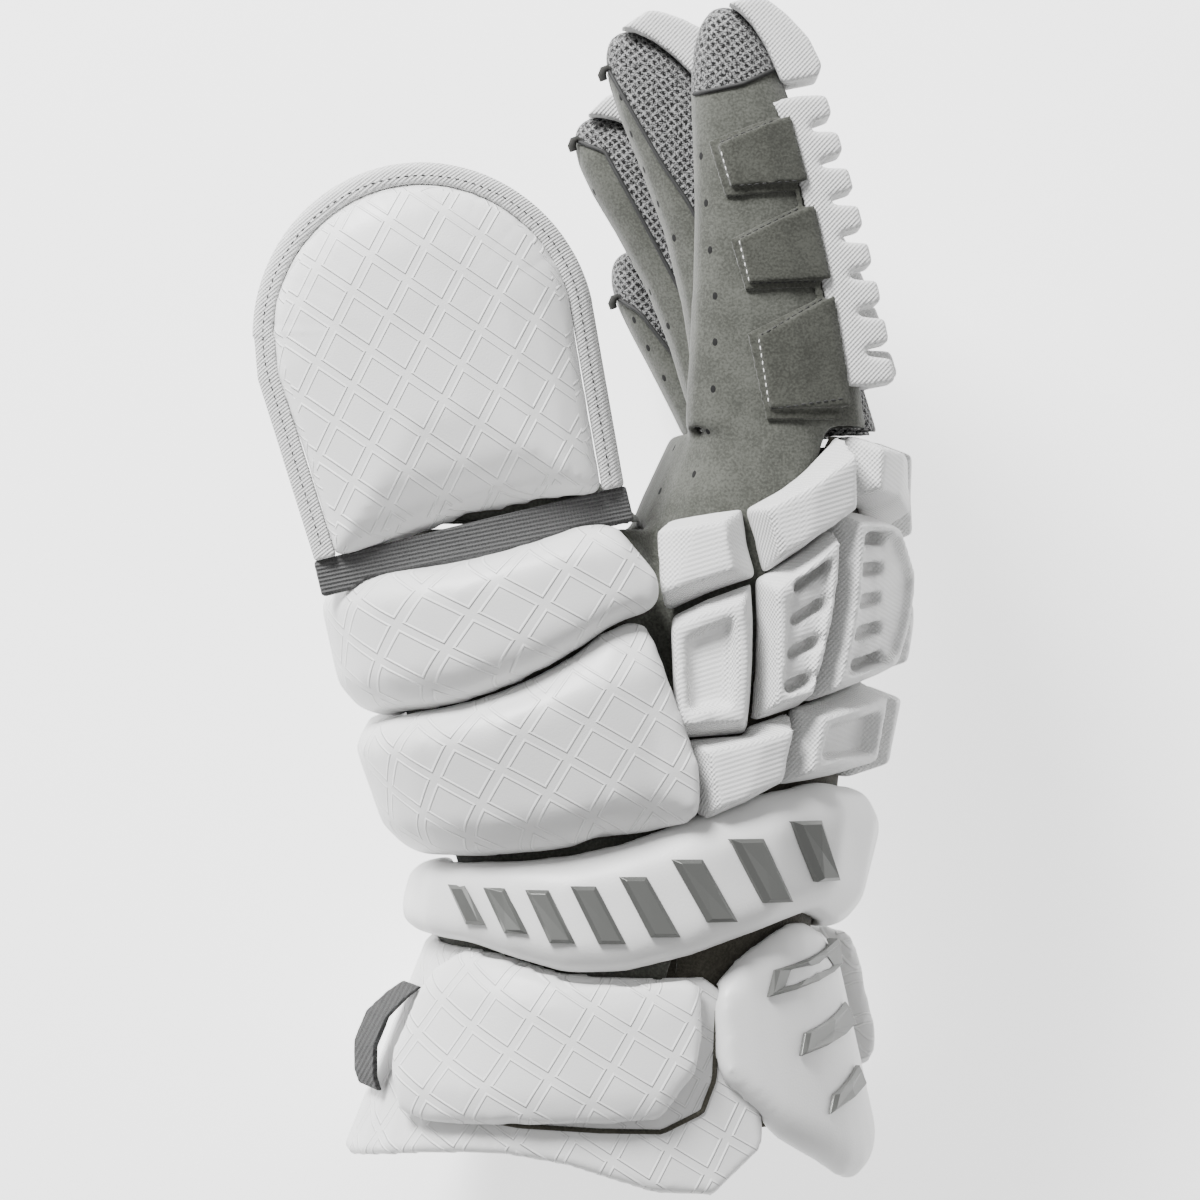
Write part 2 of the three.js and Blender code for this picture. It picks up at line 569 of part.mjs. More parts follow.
// Slanted silver ribs in a row on the wrist bar, where the lettering was
const RIB_COUNT = 8;
const RIB_FIRST_TURN = 37;
const RIB_LAST_TURN = 116;
const RIB_SLANT = 3.2; // degrees the top of a rib is turned past its foot
const RIB_HALF_WIDTH = 3; // degrees
for (let i = 0; i < RIB_COUNT; i++) {
  const turn = THREE.MathUtils.lerp(RIB_FIRST_TURN, RIB_LAST_TURN, i / (RIB_COUNT - 1));
  const low = THREE.MathUtils.lerp(
    bodyY(between(BAR_ROWS, "low", turn, "turn")),
    bodyY(between(BAR_ROWS, "high", turn, "turn")),
    0.27,
  );
  const high = low + (bodyY(between(BAR_ROWS, "high", turn, "turn")) - low) * 0.63;
  const outline = [
    [turn - RIB_HALF_WIDTH - RIB_SLANT, low],
    [turn + RIB_HALF_WIDTH - RIB_SLANT, low],
    [turn + RIB_HALF_WIDTH + RIB_SLANT, high],
    [turn - RIB_HALF_WIDTH + RIB_SLANT, high],
  ];
  const top = BAR_THICKNESS + GAP + RIB_THICKNESS;
  const rib = loft([
    outline.map(([a, y]) => onHand(a, y, BAR_THICKNESS - 2.5)),
    outline.map(([a, y]) => onHand(a, y, top - 1)),
    inset(outline, 1).map(([a, y]) => onHand(a, y, top)),
  ]);
  addPiece(`bar_rib_${i + 1}`, rib.subtract(barKeepOut), SILVER);
}

// Cuff: an inner layer open at the back, a padded side each way, a shaped plate over the back and a pull tab
const FLARE_ROWS = [
  { turn: 57, low: 0.06, high: 0.2 },
  { turn: 62, low: 0.015, high: 0.25 },
  { turn: 67, low: -0.008, high: 0.27 },
  { turn: 75, low: -0.018, high: 0.27 },
  { turn: 82, low: -0.012, high: 0.27 },
  { turn: 90, low: 0.015, high: 0.27 },
  { turn: 102, low: 0.036, high: 0.28 },
  { turn: 122, low: 0.038, high: 0.3 },
  { turn: 145, low: 0.026, high: 0.306 },
  { turn: 180, low: 0.01, high: 0.31 },
  { turn: 215, low: 0.026, high: 0.306 },
  { turn: 238, low: 0.038, high: 0.3 },
  { turn: 258, low: 0.036, high: 0.28 },
  { turn: 270, low: 0.015, high: 0.27 },
  { turn: 278, low: -0.012, high: 0.27 },
  { turn: 285, low: -0.018, high: 0.27 },
  { turn: 293, low: 0.0, high: 0.27 },
  { turn: 300, low: 0.04, high: 0.24 },
];
const SIDE_PAD_ROWS = [
  { turn: 73.5, low: 0.19, high: 0.27 },
  { turn: 78, low: 0.1, high: 0.271 },
  { turn: 95, low: 0.076, high: 0.27 },
  { turn: 115, low: 0.074, high: 0.296 },
  { turn: 132, low: 0.08, high: 0.305 },
  { turn: 140, low: 0.1, high: 0.3 },
  { turn: 145, low: 0.16, high: 0.27 },
];
const FAR_PAD_ROWS = [
  { turn: 217, low: 0.16, high: 0.27, lift: 0 },
  { turn: 225, low: 0.09, high: 0.3, lift: 0 },
  { turn: 245, low: 0.074, high: 0.31, lift: 0 },
  { turn: 268, low: 0.072, high: 0.31, lift: 0 },
  { turn: 290, low: 0.07, high: 0.31, lift: 0.3 },
  { turn: 310, low: 0.065, high: 0.31, lift: 0.9 },
  { turn: 326, low: 0.075, high: 0.31, lift: 2.2 },
  { turn: 332, low: 0.12, high: 0.29, lift: 2.6 },
];
const FLAT_PROFILE = [
  { across: 0, rise: 0.5 },
  { across: 0.03, rise: 1 },
  { across: 0.97, rise: 1 },
  { across: 1, rise: 0.5 },
];
const flareForm = (grow) => band(onBody, FLARE_ROWS, FLARE_THICKNESS, { steps: 20, grow, profile: FLAT_PROFILE });
const OUTER_BASE = GAP + FLARE_THICKNESS + GAP;
addPiece("cuff_flare", flareForm(0).subtract(linerKeepOut).subtract(barKeepOut), WHITE_VINYL);
const cuffKeepOut = linerKeepOut.add(flareForm(GAP)).add(barKeepOut);
const sidePad = band(onBody, SIDE_PAD_ROWS, CUFF_PAD_THICKNESS - FLARE_THICKNESS, { base: OUTER_BASE, steps: 10 });
const farPadForm = band(onBody, FAR_PAD_ROWS, CUFF_PAD_THICKNESS - FLARE_THICKNESS, { base: OUTER_BASE, steps: 11 });
const farPad = farPadForm.trimByPlane([0, 0, 1], FLOOR_Z);

const PLATE_ROWS = [
  { turn: 70, low: 0.14, high: 0.25 },
  { turn: 64, low: 0.115, high: 0.285 },
  { turn: 55, low: 0.062, high: 0.31 },
  { turn: 40, low: 0.02, high: 0.34 },
  { turn: 25, low: -0.014, high: 0.33 },
  { turn: 10, low: 0.0, high: 0.31 },
  { turn: -8, low: 0.01, high: 0.31 },
  { turn: -18, low: 0.04, high: 0.3 },
  { turn: -23, low: 0.1, high: 0.27 },
].reverse();
const PLATE_PROFILE = [
  { across: 0, rise: 0.4 },
  { across: 0.06, rise: 0.85 },
  { across: 0.14, rise: 1 },
  { across: 0.86, rise: 1 },
  { across: 0.94, rise: 0.85 },
  { across: 1, rise: 0.4 },
];
const plateForm = (grow) => band(onBody, PLATE_ROWS, PLATE_THICKNESS, { steps: 12, grow, profile: PLATE_PROFILE });
const plateKeepOut = plateForm(GAP);
addPiece("cuff_plate", plateForm(0).subtract(cuffKeepOut), WHITE_FOAM);
addPiece("cuff_side_pad", sidePad.subtract(cuffKeepOut).subtract(plateKeepOut), WHITE_VINYL);
addPiece("cuff_far_pad", farPad.subtract(cuffKeepOut).subtract(plateKeepOut), WHITE_VINYL);

// Silver bars on the plate, one below the other and each shorter than the one above it
const TRIM_ROWS = [
  { name: "plate_trim_upper", from: 56, to: 12, y: 0.245, rise: 0.035 },
  { name: "plate_trim_middle", from: 48, to: 14, y: 0.165, rise: 0.03 },
  { name: "plate_trim_lower", from: 40, to: 16, y: 0.085, rise: 0.025 },
];
for (const { name, from, to, y, rise } of TRIM_ROWS) {
  const slant = 0.03;
  const outline = [
    [from, bodyY(y)],
    [to, bodyY(y + slant)],
    [to + 3, bodyY(y + slant + rise)],
    [from - 3, bodyY(y + rise)],
  ];
  const top = PLATE_THICKNESS + GAP + RIB_THICKNESS;
  const levels = [
    [PLATE_THICKNESS - 2, 0],
    [top - 0.8, 0],
    [top, 1],
  ];
  addPiece(name, pillar(onBody, outline, levels).subtract(plateKeepOut), SILVER);
}

// Pull tab: webbing folded to a loop that stands off the cuff's palm side
const TAB_ROWS = [
  { along: 0.11, out: 0 },
  { along: 0.13, out: 0.45 },
  { along: 0.17, out: 0.95 },
  { along: 0.21, out: 1 },
  { along: 0.235, out: 0.5 },
  { along: 0.25, out: 0 },
];
const TAB_FIRST_TURN = 151;
const TAB_LAST_TURN = 170;
const tab = loft(
  TAB_ROWS.map(({ along, out }) =>
    [TAB_FIRST_TURN, TAB_LAST_TURN].flatMap((turn, side) =>
      [side, 1 - side].map((up) =>
        onBody(turn, bodyY(along), OUTER_BASE + GAP + TAB_REACH * out + WEBBING_THICKNESS * up),
      ),
    ),
  ),
);
addPiece("pull_tab", tab.subtract(cuffKeepOut), WEBBING);

// Foam blocks on the back of the hand: corners as degrees round the body and shares of its length from the cuff
const BLOCKS = [
  { name: "web_pad", corners: [[124, 0.88], [93.3, 0.895], [87.2, 0.803], [112, 0.756]] },
  { name: "index_knuckle", corners: [[92.5, 0.894], [57, 0.995], [53, 0.893], [85.5, 0.806]], both: true },
  { name: "window_block", corners: [[109, 0.752], [88.3, 0.797], [77.2, 0.594], [93, 0.587]], window: 0.3, both: true },
  { name: "slat_block", corners: [[87.7, 0.801], [60.5, 0.884], [61.5, 0.63], [76.7, 0.61]], slats: 4, both: true },
  { name: "back_slat_block", corners: [[59.6, 0.896], [30.5, 0.889], [6, 0.808], [23.5, 0.67], [60.7, 0.633]], slats: 5, both: true },
  { name: "wedge_block", corners: [[91.5, 0.585], [64.3, 0.624], [62, 0.524], [83, 0.47]], both: true },
  { name: "recess_block", corners: [[63.3, 0.629], [26.5, 0.666], [23, 0.54], [62, 0.524]], window: 0.32, both: true },
  { name: "knuckle_block", corners: [[52, 0.995], [20, 0.985], [8, 0.86], [30.5, 0.895], [51, 0.908]], both: true },
  { name: "upper_middle_block", corners: [[19, 0.99], [-19, 0.99], [-8, 0.845], [8, 0.845]] },
  { name: "lower_middle_block", corners: [[4, 0.785], [-4, 0.785], [-21, 0.67], [21, 0.67]] },
  { name: "middle_block", corners: [[22, 0.655], [-22, 0.655], [-20, 0.53], [20, 0.53]] },
];
const BLOCK_SEAM = 0.25; // half the groove between two blocks
const blockShell = bodyForm(BLOCK_HEIGHT, bodyY(0.3), ROOT_Y, 8);
const fingerKeepOut = fingerKeepOuts.reduce((a, b) => a.add(b));
let handKeepOut = linerKeepOut.add(barKeepOut).add(rollsKeepOut).add(fingerKeepOut);
const mixCorners = (corners, u, v) =>
  [0, 1].map((key) =>
    THREE.MathUtils.lerp(
      THREE.MathUtils.lerp(corners[0][key], corners[1][key], u),
      THREE.MathUtils.lerp(corners.at(-1)[key], corners.at(-2)[key], u),
      v,
    ),
  );
for (const { name, corners, window, slats, both } of BLOCKS) {
  for (const side of both ? [1, -1] : [1]) {
    const outline = inset(corners.map(([turn, along]) => [turn * side, bodyY(along)]), BLOCK_SEAM);
    let block = pillar(onBody, outline, [
      [-6, 0],
      [BLOCK_FOOT, 0],
      [BLOCK_HEIGHT + 0.2, BLOCK_CHAMFER],
      [BLOCK_HEIGHT + 8, BLOCK_CHAMFER * 2],
    ]);
    block = block.intersect(blockShell).subtract(handKeepOut);
    handKeepOut = handKeepOut.add(
      pillar(onBody, inset(outline, -BLOCK_SEAM - GAP), [
        [-7, 0],
        [BLOCK_FOOT, 0],
        [BLOCK_HEIGHT + 0.2, 0],
        [BLOCK_HEIGHT + 8, 0],
      ]),
    );
    if (window && side > 0) {
      const levels = [
        [BLOCK_HEIGHT - WINDOW_DEPTH, BLOCK_CHAMFER * 2.1],
        [BLOCK_HEIGHT + 8, BLOCK_CHAMFER * 1.1],
      ];
      block = block.subtract(pillar(onBody, outline, levels));
    }
    if (slats && side > 0) {
      const levels = [
        [BLOCK_HEIGHT - POCKET_DEPTH, BLOCK_CHAMFER * 1.75],
        [BLOCK_HEIGHT + 8, BLOCK_CHAMFER * 1.2],
      ];
      block = block.subtract(pillar(onBody, outline, levels));
      for (let i = 0; i < slats; i++) {
        const [top, foot] = [(i + 0.62) / (slats + 0.7), (i + 1.05) / (slats + 0.7)];
        const hole = [[0.3, top], [0.78, top], [0.78, foot], [0.3, foot]].map(([u, v]) => mixCorners(outline, u, v));
        block = block.subtract(
          pillar(onBody, hole, [
            [BLOCK_HEIGHT - SLOT_DEPTH, 0],
            [BLOCK_HEIGHT + 8, 0],
          ]),
        );
      }
    }
    addPiece(both ? `${name}_${side > 0 ? "near" : "far"}` : name, block, WHITE_FOAM);
  }
}

// Suede overlay on the index finger's side: three padded lobes joined along the finger's back
const LOBES = [
  {
    name: "tip",
    flap: [[1.2, 0.73], [-0.73, 0.688], [-0.51, 0.55], [0.88, 0.54], [1.2, 0.54]],
    raised: [[0.88, 0.715], [-0.56, 0.675], [-0.41, 0.571], [0.88, 0.56]],
  },
  {
    name: "middle",
    flap: [[1.2, 0.53], [0.91, 0.521], [-0.48, 0.45], [-0.3, 0.325], [0.9, 0.319], [1.2, 0.32]],
    raised: [[0.88, 0.508], [-0.35, 0.446], [-0.24, 0.342], [0.9, 0.335]],
  },
  {
    name: "root",
    flap: [[1.2, 0.318], [0.92, 0.312], [-0.3, 0.225], [-0.12, 0.021], [1.2, 0.021]],
    raised: [[0.88, 0.3], [-0.17, 0.217], [-0.07, 0.046], [0.9, 0.05]],
  },
];
const index = FINGERS[0];
const lobePoint = ([across, along]) => outFrom(index, along, across * fingerAt(index, along).halfDepth);
const indexMiddle = BODY_MIDDLE_Z + index.place * FINGER_PITCH;
const onSide = (outline) => prism(outline.map(lobePoint), indexMiddle, indexMiddle + FINGER_BREADTH);
const SPINE = [[0.68, 0.722], [1.2, 0.73], [1.2, 0.021], [0.68, 0.021]];
const overlayArea = LOBES.map(({ flap }) => onSide(flap)).reduce((a, b) => a.add(b), onSide(SPINE));
const lobeArea = LOBES.map(({ raised }) => onSide(raised)).reduce((a, b) => a.add(b));
const STRIP_SHARES = [0, 0.25, 0.5, 0.75, 1];
const combStrip = prism(
  [
    ...STRIP_SHARES.map((share) => dorsalPoint(index, share, FINGER_DEPTH)),
    ...[...STRIP_SHARES].reverse().map((share) => outFrom(index, share, 0)),
  ],
  indexMiddle - COMB_BREADTH,
  indexMiddle + TIP_PAD_BREADTH / 2 + GAP,
);
const overlay = fingerForm(index, GAP + OVERLAY_THICKNESS, 0)
  .intersect(overlayArea)
  .add(fingerForm(index, GAP + LOBE_THICKNESS, 0).intersect(lobeArea))
  .subtract(fingerKeepOuts[0])
  .subtract(combStrip);
addPiece("index_overlay", overlay, SUEDE);

// Thumb pad: a crowned, arched shield over the thumb's stall, with a bound edge and an elastic band across its base
const PAD_MIDDLE = new THREE.Vector3(-48.6, 72.6, 122.6); // middle of its round end, on its underside
const PAD_ARCH = 11; // how far its edges bend down
const PAD_CORNER_STEPS = 11;

// The shield's outline as [across, along], moved in by a distance, from its base's right corner round the tip to the left.
function padOutline(distance) {
  const radius = PAD_RADIUS - distance;
  const baseHalf = PAD_BASE_HALF - distance;
  const sides = [0, 0.5].map((share) => [
    THREE.MathUtils.lerp(baseHalf, radius, share),
    -(PAD_TAPER_LENGTH - Math.max(0, distance - BINDING_WIDTH - GAP)) * (1 - share),
  ]);
  const arc = Array.from({ length: PAD_CORNER_STEPS }, (_, i) => {
    const turn = radians((180 * i) / (PAD_CORNER_STEPS - 1));
    return [radius * Math.cos(turn), radius * Math.sin(turn)];
  });
  return [...sides, ...arc, ...[...sides].reverse().map(([across, along]) => [-across, along])];
}

function onPad([across, along], height) {
  const turn = radians(PAD_TURN);
  return new THREE.Vector3(
    PAD_MIDDLE.x + across * Math.cos(turn) - along * Math.sin(turn),
    PAD_MIDDLE.y + across * Math.sin(turn) + along * Math.cos(turn),
    PAD_MIDDLE.z - PAD_ARCH * (across / PAD_RADIUS) ** 2 + height,
  );
}

const PAD_LEVELS = [
  { inset: 0.8, rise: 0, crown: 0 },
  { inset: 0.4, rise: 0, crown: 0 },
  { inset: 0, rise: 0, crown: 0 },
  { inset: 0, rise: 1, crown: 0 },
  { inset: 0.06, rise: 1, crown: 0.35 },
  { inset: 0.2, rise: 1, crown: 0.7 },
  { inset: 0.45, rise: 1, crown: 0.94 },
  { inset: 0.8, rise: 1, crown: 1 },
];
const padRings = PAD_LEVELS.map(({ inset: share, rise, crown }) => {
  const edge = BINDING_WIDTH + GAP;
  const distance = edge + share * (PAD_BASE_HALF - edge);
  return padOutline(distance).map((point) => onPad(point, PAD_THICKNESS * rise + PAD_CROWN * crown));
});
const padShield = loft(padRings).subtract(thumbKeepOut).subtract(linerKeepOut).subtract(rollsKeepOut);
addPiece("thumb_pad", padShield, WHITE_VINYL);

const bindingSections = (distance, height) => padOutline(distance).map((point) => onPad(point, height));
const bindingWall = [
  bindingSections(BINDING_WIDTH, -0.4),
  bindingSections(0, -0.4),
  bindingSections(0, BINDING_THICKNESS * 0.6),
  bindingSections(BINDING_WIDTH * 0.25, BINDING_THICKNESS),
  bindingSections(BINDING_WIDTH * 0.75, BINDING_THICKNESS * 1.2),
  bindingSections(BINDING_WIDTH, BINDING_THICKNESS * 1.1),
];
const bindingRings = bindingWall[0].map((_, i) => bindingWall.map((line) => line[i]));
const binding = loft(bindingRings).subtract(thumbKeepOut).subtract(linerKeepOut).subtract(rollsKeepOut);
addPiece("thumb_binding", binding.subtract(loft(padRings.map((ring) => ring.map((p) => p.clone())))), WHITE_VINYL);

const ELASTIC_STEPS = 12;
const elasticRings = Array.from({ length: ELASTIC_STEPS + 1 }, (_, i) => {
  const across = THREE.MathUtils.lerp(PAD_BASE_HALF, -PAD_BASE_HALF, i / ELASTIC_STEPS);
  const end = -PAD_TAPER_LENGTH - GAP;
  return [
    onPad([across, end], 0.6),
    onPad([across, end], 0.6 + ELASTIC_THICKNESS),
    onPad([across, end - ELASTIC_WIDTH], 0.6 + ELASTIC_THICKNESS),
    onPad([across, end - ELASTIC_WIDTH], 0.6),
  ];
});
const elastic = loft(elasticRings).subtract(thumbKeepOut).subtract(linerKeepOut).subtract(rollsKeepOut);
addPiece("thumb_elastic", elastic, ELASTIC);

// The origin goes to the middle of the underside
const bounds = new THREE.Box3().setFromObject(glove);
const middle = bounds.getCenter(new THREE.Vector3());
for (const mesh of glove.children) mesh.geometry.translate(-middle.x, -middle.y, -bounds.min.z);

export default glove;
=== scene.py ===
import math

import bmesh
import bpy
import numpy as np
from mathutils import Matrix, Vector
from mathutils.bvhtree import BVHTree


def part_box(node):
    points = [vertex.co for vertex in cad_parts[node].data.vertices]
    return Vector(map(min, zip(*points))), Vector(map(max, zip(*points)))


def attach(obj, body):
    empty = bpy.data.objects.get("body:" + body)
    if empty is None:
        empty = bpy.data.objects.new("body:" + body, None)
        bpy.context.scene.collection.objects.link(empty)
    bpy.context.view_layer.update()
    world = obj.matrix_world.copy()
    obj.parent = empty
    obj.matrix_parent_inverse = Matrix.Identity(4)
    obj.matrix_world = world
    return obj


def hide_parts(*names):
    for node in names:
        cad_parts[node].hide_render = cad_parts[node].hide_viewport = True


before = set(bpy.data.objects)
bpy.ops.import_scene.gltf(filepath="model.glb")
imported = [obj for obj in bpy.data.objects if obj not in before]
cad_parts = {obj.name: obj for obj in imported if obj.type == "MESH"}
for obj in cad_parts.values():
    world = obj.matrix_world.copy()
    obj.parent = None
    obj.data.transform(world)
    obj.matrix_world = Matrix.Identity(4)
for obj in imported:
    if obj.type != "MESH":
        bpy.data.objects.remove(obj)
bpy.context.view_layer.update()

# Camera, light and floor
# The glove lies on a pale table and is seen from straight above, square on to its thumb side. A soft light stands
# past the fingertips on the thumb's side, with a weak one by the cuff's back and a pale sky to fill the shadows.
MILLIMETRE = 0.001
# from the index finger's root edge and its strip's middle
CAMERA_RISE = Vector((-23.5, -47.3, 1195.9)) * MILLIMETRE
index_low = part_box("index_stall")[0]
strip_low, strip_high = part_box("index_comb")
CAMERA_PLACE = Vector((index_low.x, index_low.y, (strip_low.z + strip_high.z) / 2)) + CAMERA_RISE
PIXEL = 0.28 * MILLIMETRE  # one pixel of the photograph at the reach below
PIXEL_REACH = 1200 * MILLIMETRE
PHOTO_MIDDLE = 600
SENSOR = 36.0


def camera_ray(px, py):
    """The direction from the camera through a pixel of the photograph."""
    return Vector(((px - PHOTO_MIDDLE) * PIXEL, (PHOTO_MIDDLE - py) * PIXEL, -PIXEL_REACH)).normalized()


def pixel_of(point):
    """The photograph's pixel that a point falls on."""
    away = point - CAMERA_PLACE
    scale = PIXEL_REACH / -away.z / PIXEL
    return Vector((PHOTO_MIDDLE + away.x * scale, PHOTO_MIDDLE - away.y * scale))


camera = bpy.data.objects.new("camera", bpy.data.cameras.new("camera"))
camera.location = CAMERA_PLACE
camera.data.sensor_width = SENSOR
camera.data.lens = SENSOR * PIXEL_REACH / (2 * PHOTO_MIDDLE * PIXEL)
camera.data.clip_start = 0.01
bpy.context.scene.collection.objects.link(camera)
bpy.context.scene.camera = camera


def area_light(name, place, size, power):
    """A square soft light that faces the middle of the glove."""
    lamp = bpy.data.objects.new(name, bpy.data.lights.new(name, "AREA"))
    lamp.data.size = size
    lamp.data.energy = power
    lamp.location = place
    aim = Vector((0, 0, 0.07)) - lamp.location
    lamp.rotation_euler = aim.to_track_quat("-Z", "Y").to_euler()
    bpy.context.scene.collection.objects.link(lamp)


area_light("key_light", Vector((-0.7, 1.25, 0.95)), 0.6, 82)
area_light("fill_light", Vector((1.1, -0.2, 1.1)), 1.2, 3)

sky = bpy.data.worlds.new("sky")
sky.use_nodes = True
sky.node_tree.nodes["Background"].inputs["Color"].default_value = (1, 1, 1, 1)
sky.node_tree.nodes["Background"].inputs["Strength"].default_value = 0.5
bpy.context.scene.world = sky


def material(name, colour, roughness, **settings):
    """A material with one Principled shader, its constant settings on the shader's own sockets."""
    made = bpy.data.materials.new(name)
    made.use_nodes = True
    shader = made.node_tree.nodes["Principled BSDF"]
    shader.inputs["Base Color"].default_value = (*colour, 1)
    shader.inputs["Roughness"].default_value = roughness
    for socket, value in settings.items():
        shader.inputs[socket.replace("_", " ").title().replace("Ior", "IOR")].default_value = value
    return made


floor_finish = material("table_top", (0.93, 0.93, 0.93), 0.8, emission_strength=1.5)
floor_finish.node_tree.nodes["Principled BSDF"].inputs["Emission Color"].default_value = (1, 1, 1, 1)
floor_builder = bmesh.new()
bmesh.ops.create_grid(floor_builder, x_segments=1, y_segments=1, size=3)
floor_mesh = bpy.data.meshes.new("table_top")
floor_builder.to_mesh(floor_mesh)
floor_builder.free()
floor = bpy.data.objects.new("table_top", floor_mesh)
floor.data.materials.append(floor_finish)
bpy.context.scene.collection.objects.link(floor)

# Hand liner and thumb stall
# The palm and the thumb are sewn from grey-green suede, the back of the hand from a brushed olive lining. Each
# panel is a thin wall, cut, sewn inside out and turned.
HAND_MIDDLE = Vector((0.006, 0, 0.0672))
HAND_RADIUS = 0.062


def add_object(name, mesh):
    """Links a mesh to the scene as a piece of its own."""
    piece = bpy.data.objects.new(name, mesh)
    bpy.context.scene.collection.objects.link(piece)
    return piece


def bake_modifiers(piece):
    """Applies every modifier of a piece to its mesh."""
    seen = piece.evaluated_get(bpy.context.evaluated_depsgraph_get())
    mesh = bpy.data.meshes.new_from_object(seen)
    piece.modifiers.clear()
    piece.data = mesh


def shade_smooth(piece):
    """Smooth shading over the whole piece."""
    piece.data.polygons.foreach_set("use_smooth", [True] * len(piece.data.polygons))


def copy_of(node, name):
    """A copy of a CAD node's mesh with its corners merged."""
    builder = bmesh.new()
    builder.from_mesh(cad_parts[node].data)
    bmesh.ops.remove_doubles(builder, verts=builder.verts, dist=0.00001)
    mesh = bpy.data.meshes.new(name)
    builder.to_mesh(mesh)
    builder.free()
    return add_object(name, mesh)


def relax(mesh, rounds, back=0.0):
    """Moves each point towards its neighbours' middle, and back by a share so that a thin sheet keeps its size."""
    count = len(mesh.vertices)
    place = np.empty(count * 3)
    mesh.vertices.foreach_get("co", place)
    place = place.reshape(-1, 3)
    pairs = np.empty(len(mesh.edges) * 2, int)
    mesh.edges.foreach_get("vertices", pairs)
    first, second = pairs.reshape(-1, 2).T
    ends = np.maximum(np.bincount(pairs, minlength=count), 1)
    for factor in [0.5, -back] * rounds if back else [0.5] * rounds:
        total = np.column_stack([
            np.bincount(first, place[second, axis], count) + np.bincount(second, place[first, axis], count)
            for axis in range(3)
        ])
        place = place + factor * (total / ends[:, None] - place)
    mesh.vertices.foreach_set("co", place.ravel())
    mesh.update()


def even_faces(piece, voxel):
    """Cuts a closed mesh into even faces."""
    remesh = piece.modifiers.new("even_faces", "REMESH")
    remesh.mode = "VOXEL"
    remesh.voxel_size = voxel
    bake_modifiers(piece)


def soften(piece, voxel, rounds, back=0.0):
    """Cuts the mesh into even faces and relaxes it, so that edges round off and facets go."""
    even_faces(piece, voxel)
    relax(piece.data, rounds, back)
    shade_smooth(piece)


def lay_out(piece):
    """Stores where each point lies on the cover unrolled off the hand, and on each face's own plane."""
    mesh = piece.data
    count = len(mesh.vertices)
    place = np.empty(count * 3)
    mesh.vertices.foreach_get("co", place)
    place = place.reshape(-1, 3)
    turn = np.arctan2(place[:, 0] - HAND_MIDDLE.x, place[:, 2] - HAND_MIDDLE.z)
    unrolled = np.column_stack([turn * HAND_RADIUS, place[:, 1], np.zeros(count)])
    mesh.attributes.new("unrolled", "FLOAT_VECTOR", "POINT").data.foreach_set("vector", unrolled.ravel())
    corner = np.empty(len(mesh.loops), int)
    mesh.loops.foreach_get("vertex_index", corner)
    normal = np.empty(len(mesh.polygons) * 3)
    mesh.polygons.foreach_get("normal", normal)
    sides = np.empty(len(mesh.polygons), int)
    mesh.polygons.foreach_get("loop_total", sides)
    main = np.repeat(np.abs(normal.reshape(-1, 3)).argmax(1), sides)
    at = place[corner]
    flat = np.where(
        (main == 2)[:, None],
        at[:, [0, 1, 2]],
        np.where((main == 0)[:, None], at[:, [2, 1, 0]], at[:, [0, 2, 1]]),
    )
    mesh.attributes.new("face_place", "FLOAT_VECTOR", "CORNER").data.foreach_set("vector", flat.ravel())


def put_on(piece, finish, slot, *nodes):
    """Gives a piece its finish and its body, and hides the CAD nodes that it stands for."""
    piece.data.materials.clear()
    piece.data.materials.append(finish)
    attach(piece, "root")
    if nodes:
        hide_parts(*nodes)


def group(name, inputs, outputs):
    """An empty node group with its sockets, and its input and output nodes."""
    tree = bpy.data.node_groups.new(name, "ShaderNodeTree")
    for label, kind, start in inputs:
        socket = tree.interface.new_socket(label, in_out="INPUT", socket_type="NodeSocket" + kind)
        socket.default_value = start
    for label, kind in outputs:
        tree.interface.new_socket(label, in_out="OUTPUT", socket_type="NodeSocket" + kind)
    return tree, tree.nodes.new("NodeGroupInput"), tree.nodes.new("NodeGroupOutput")


def math_node(tree, operation, first, second=None):
    """A Math node fed by sockets or plain numbers."""
    made = tree.nodes.new("ShaderNodeMath")
    made.operation = operation
    for socket, value in zip(made.inputs, (first, second)):
        if isinstance(value, bpy.types.NodeSocket):
            tree.links.new(value, socket)
        elif value is not None:
            socket.default_value = value
    return made.outputs[0]


def remap(tree, value, low, high, start, end):
    """A smooth step of a value from one range to another."""
    made = tree.nodes.new("ShaderNodeMapRange")
    made.interpolation_type = "SMOOTHSTEP"
    for socket, number in zip(made.inputs[1:5], (low, high, start, end)):
        if isinstance(number, bpy.types.NodeSocket):
            tree.links.new(number, socket)
        else:
            socket.default_value = number
    tree.links.new(value, made.inputs[0])
    return made.outputs[0]


def noise(tree, vector, size, detail=2.0):
    """Soft noise with blotches of a given size."""
    made = tree.nodes.new("ShaderNodeTexNoise")
    made.inputs["Scale"].default_value = 1 / size
    made.inputs["Detail"].default_value = detail
    tree.links.new(vector, made.inputs["Vector"])
    return made.outputs["Fac"]


def object_place(tree):
    """The point's own place on the object."""
    return tree.nodes.new("ShaderNodeTexCoord").outputs["Object"]


def stored(tree, name, output="Vector"):
    """An attribute that the mesh carries."""
    made = tree.nodes.new("ShaderNodeAttribute")
    made.attribute_name = name
    return made.outputs[output]


def blend_colours(tree, amount, first, second):
    """A colour between two, by an amount."""
    made = tree.nodes.new("ShaderNodeMix")
    made.data_type = "RGBA"
    for socket, value in ((made.inputs[0], amount), (made.inputs[6], first), (made.inputs[7], second)):
        if isinstance(value, bpy.types.NodeSocket):
            tree.links.new(value, socket)
        elif isinstance(value, tuple):
            socket.default_value = (*value, 1)
        else:
            socket.default_value = value
    return made.outputs[2]


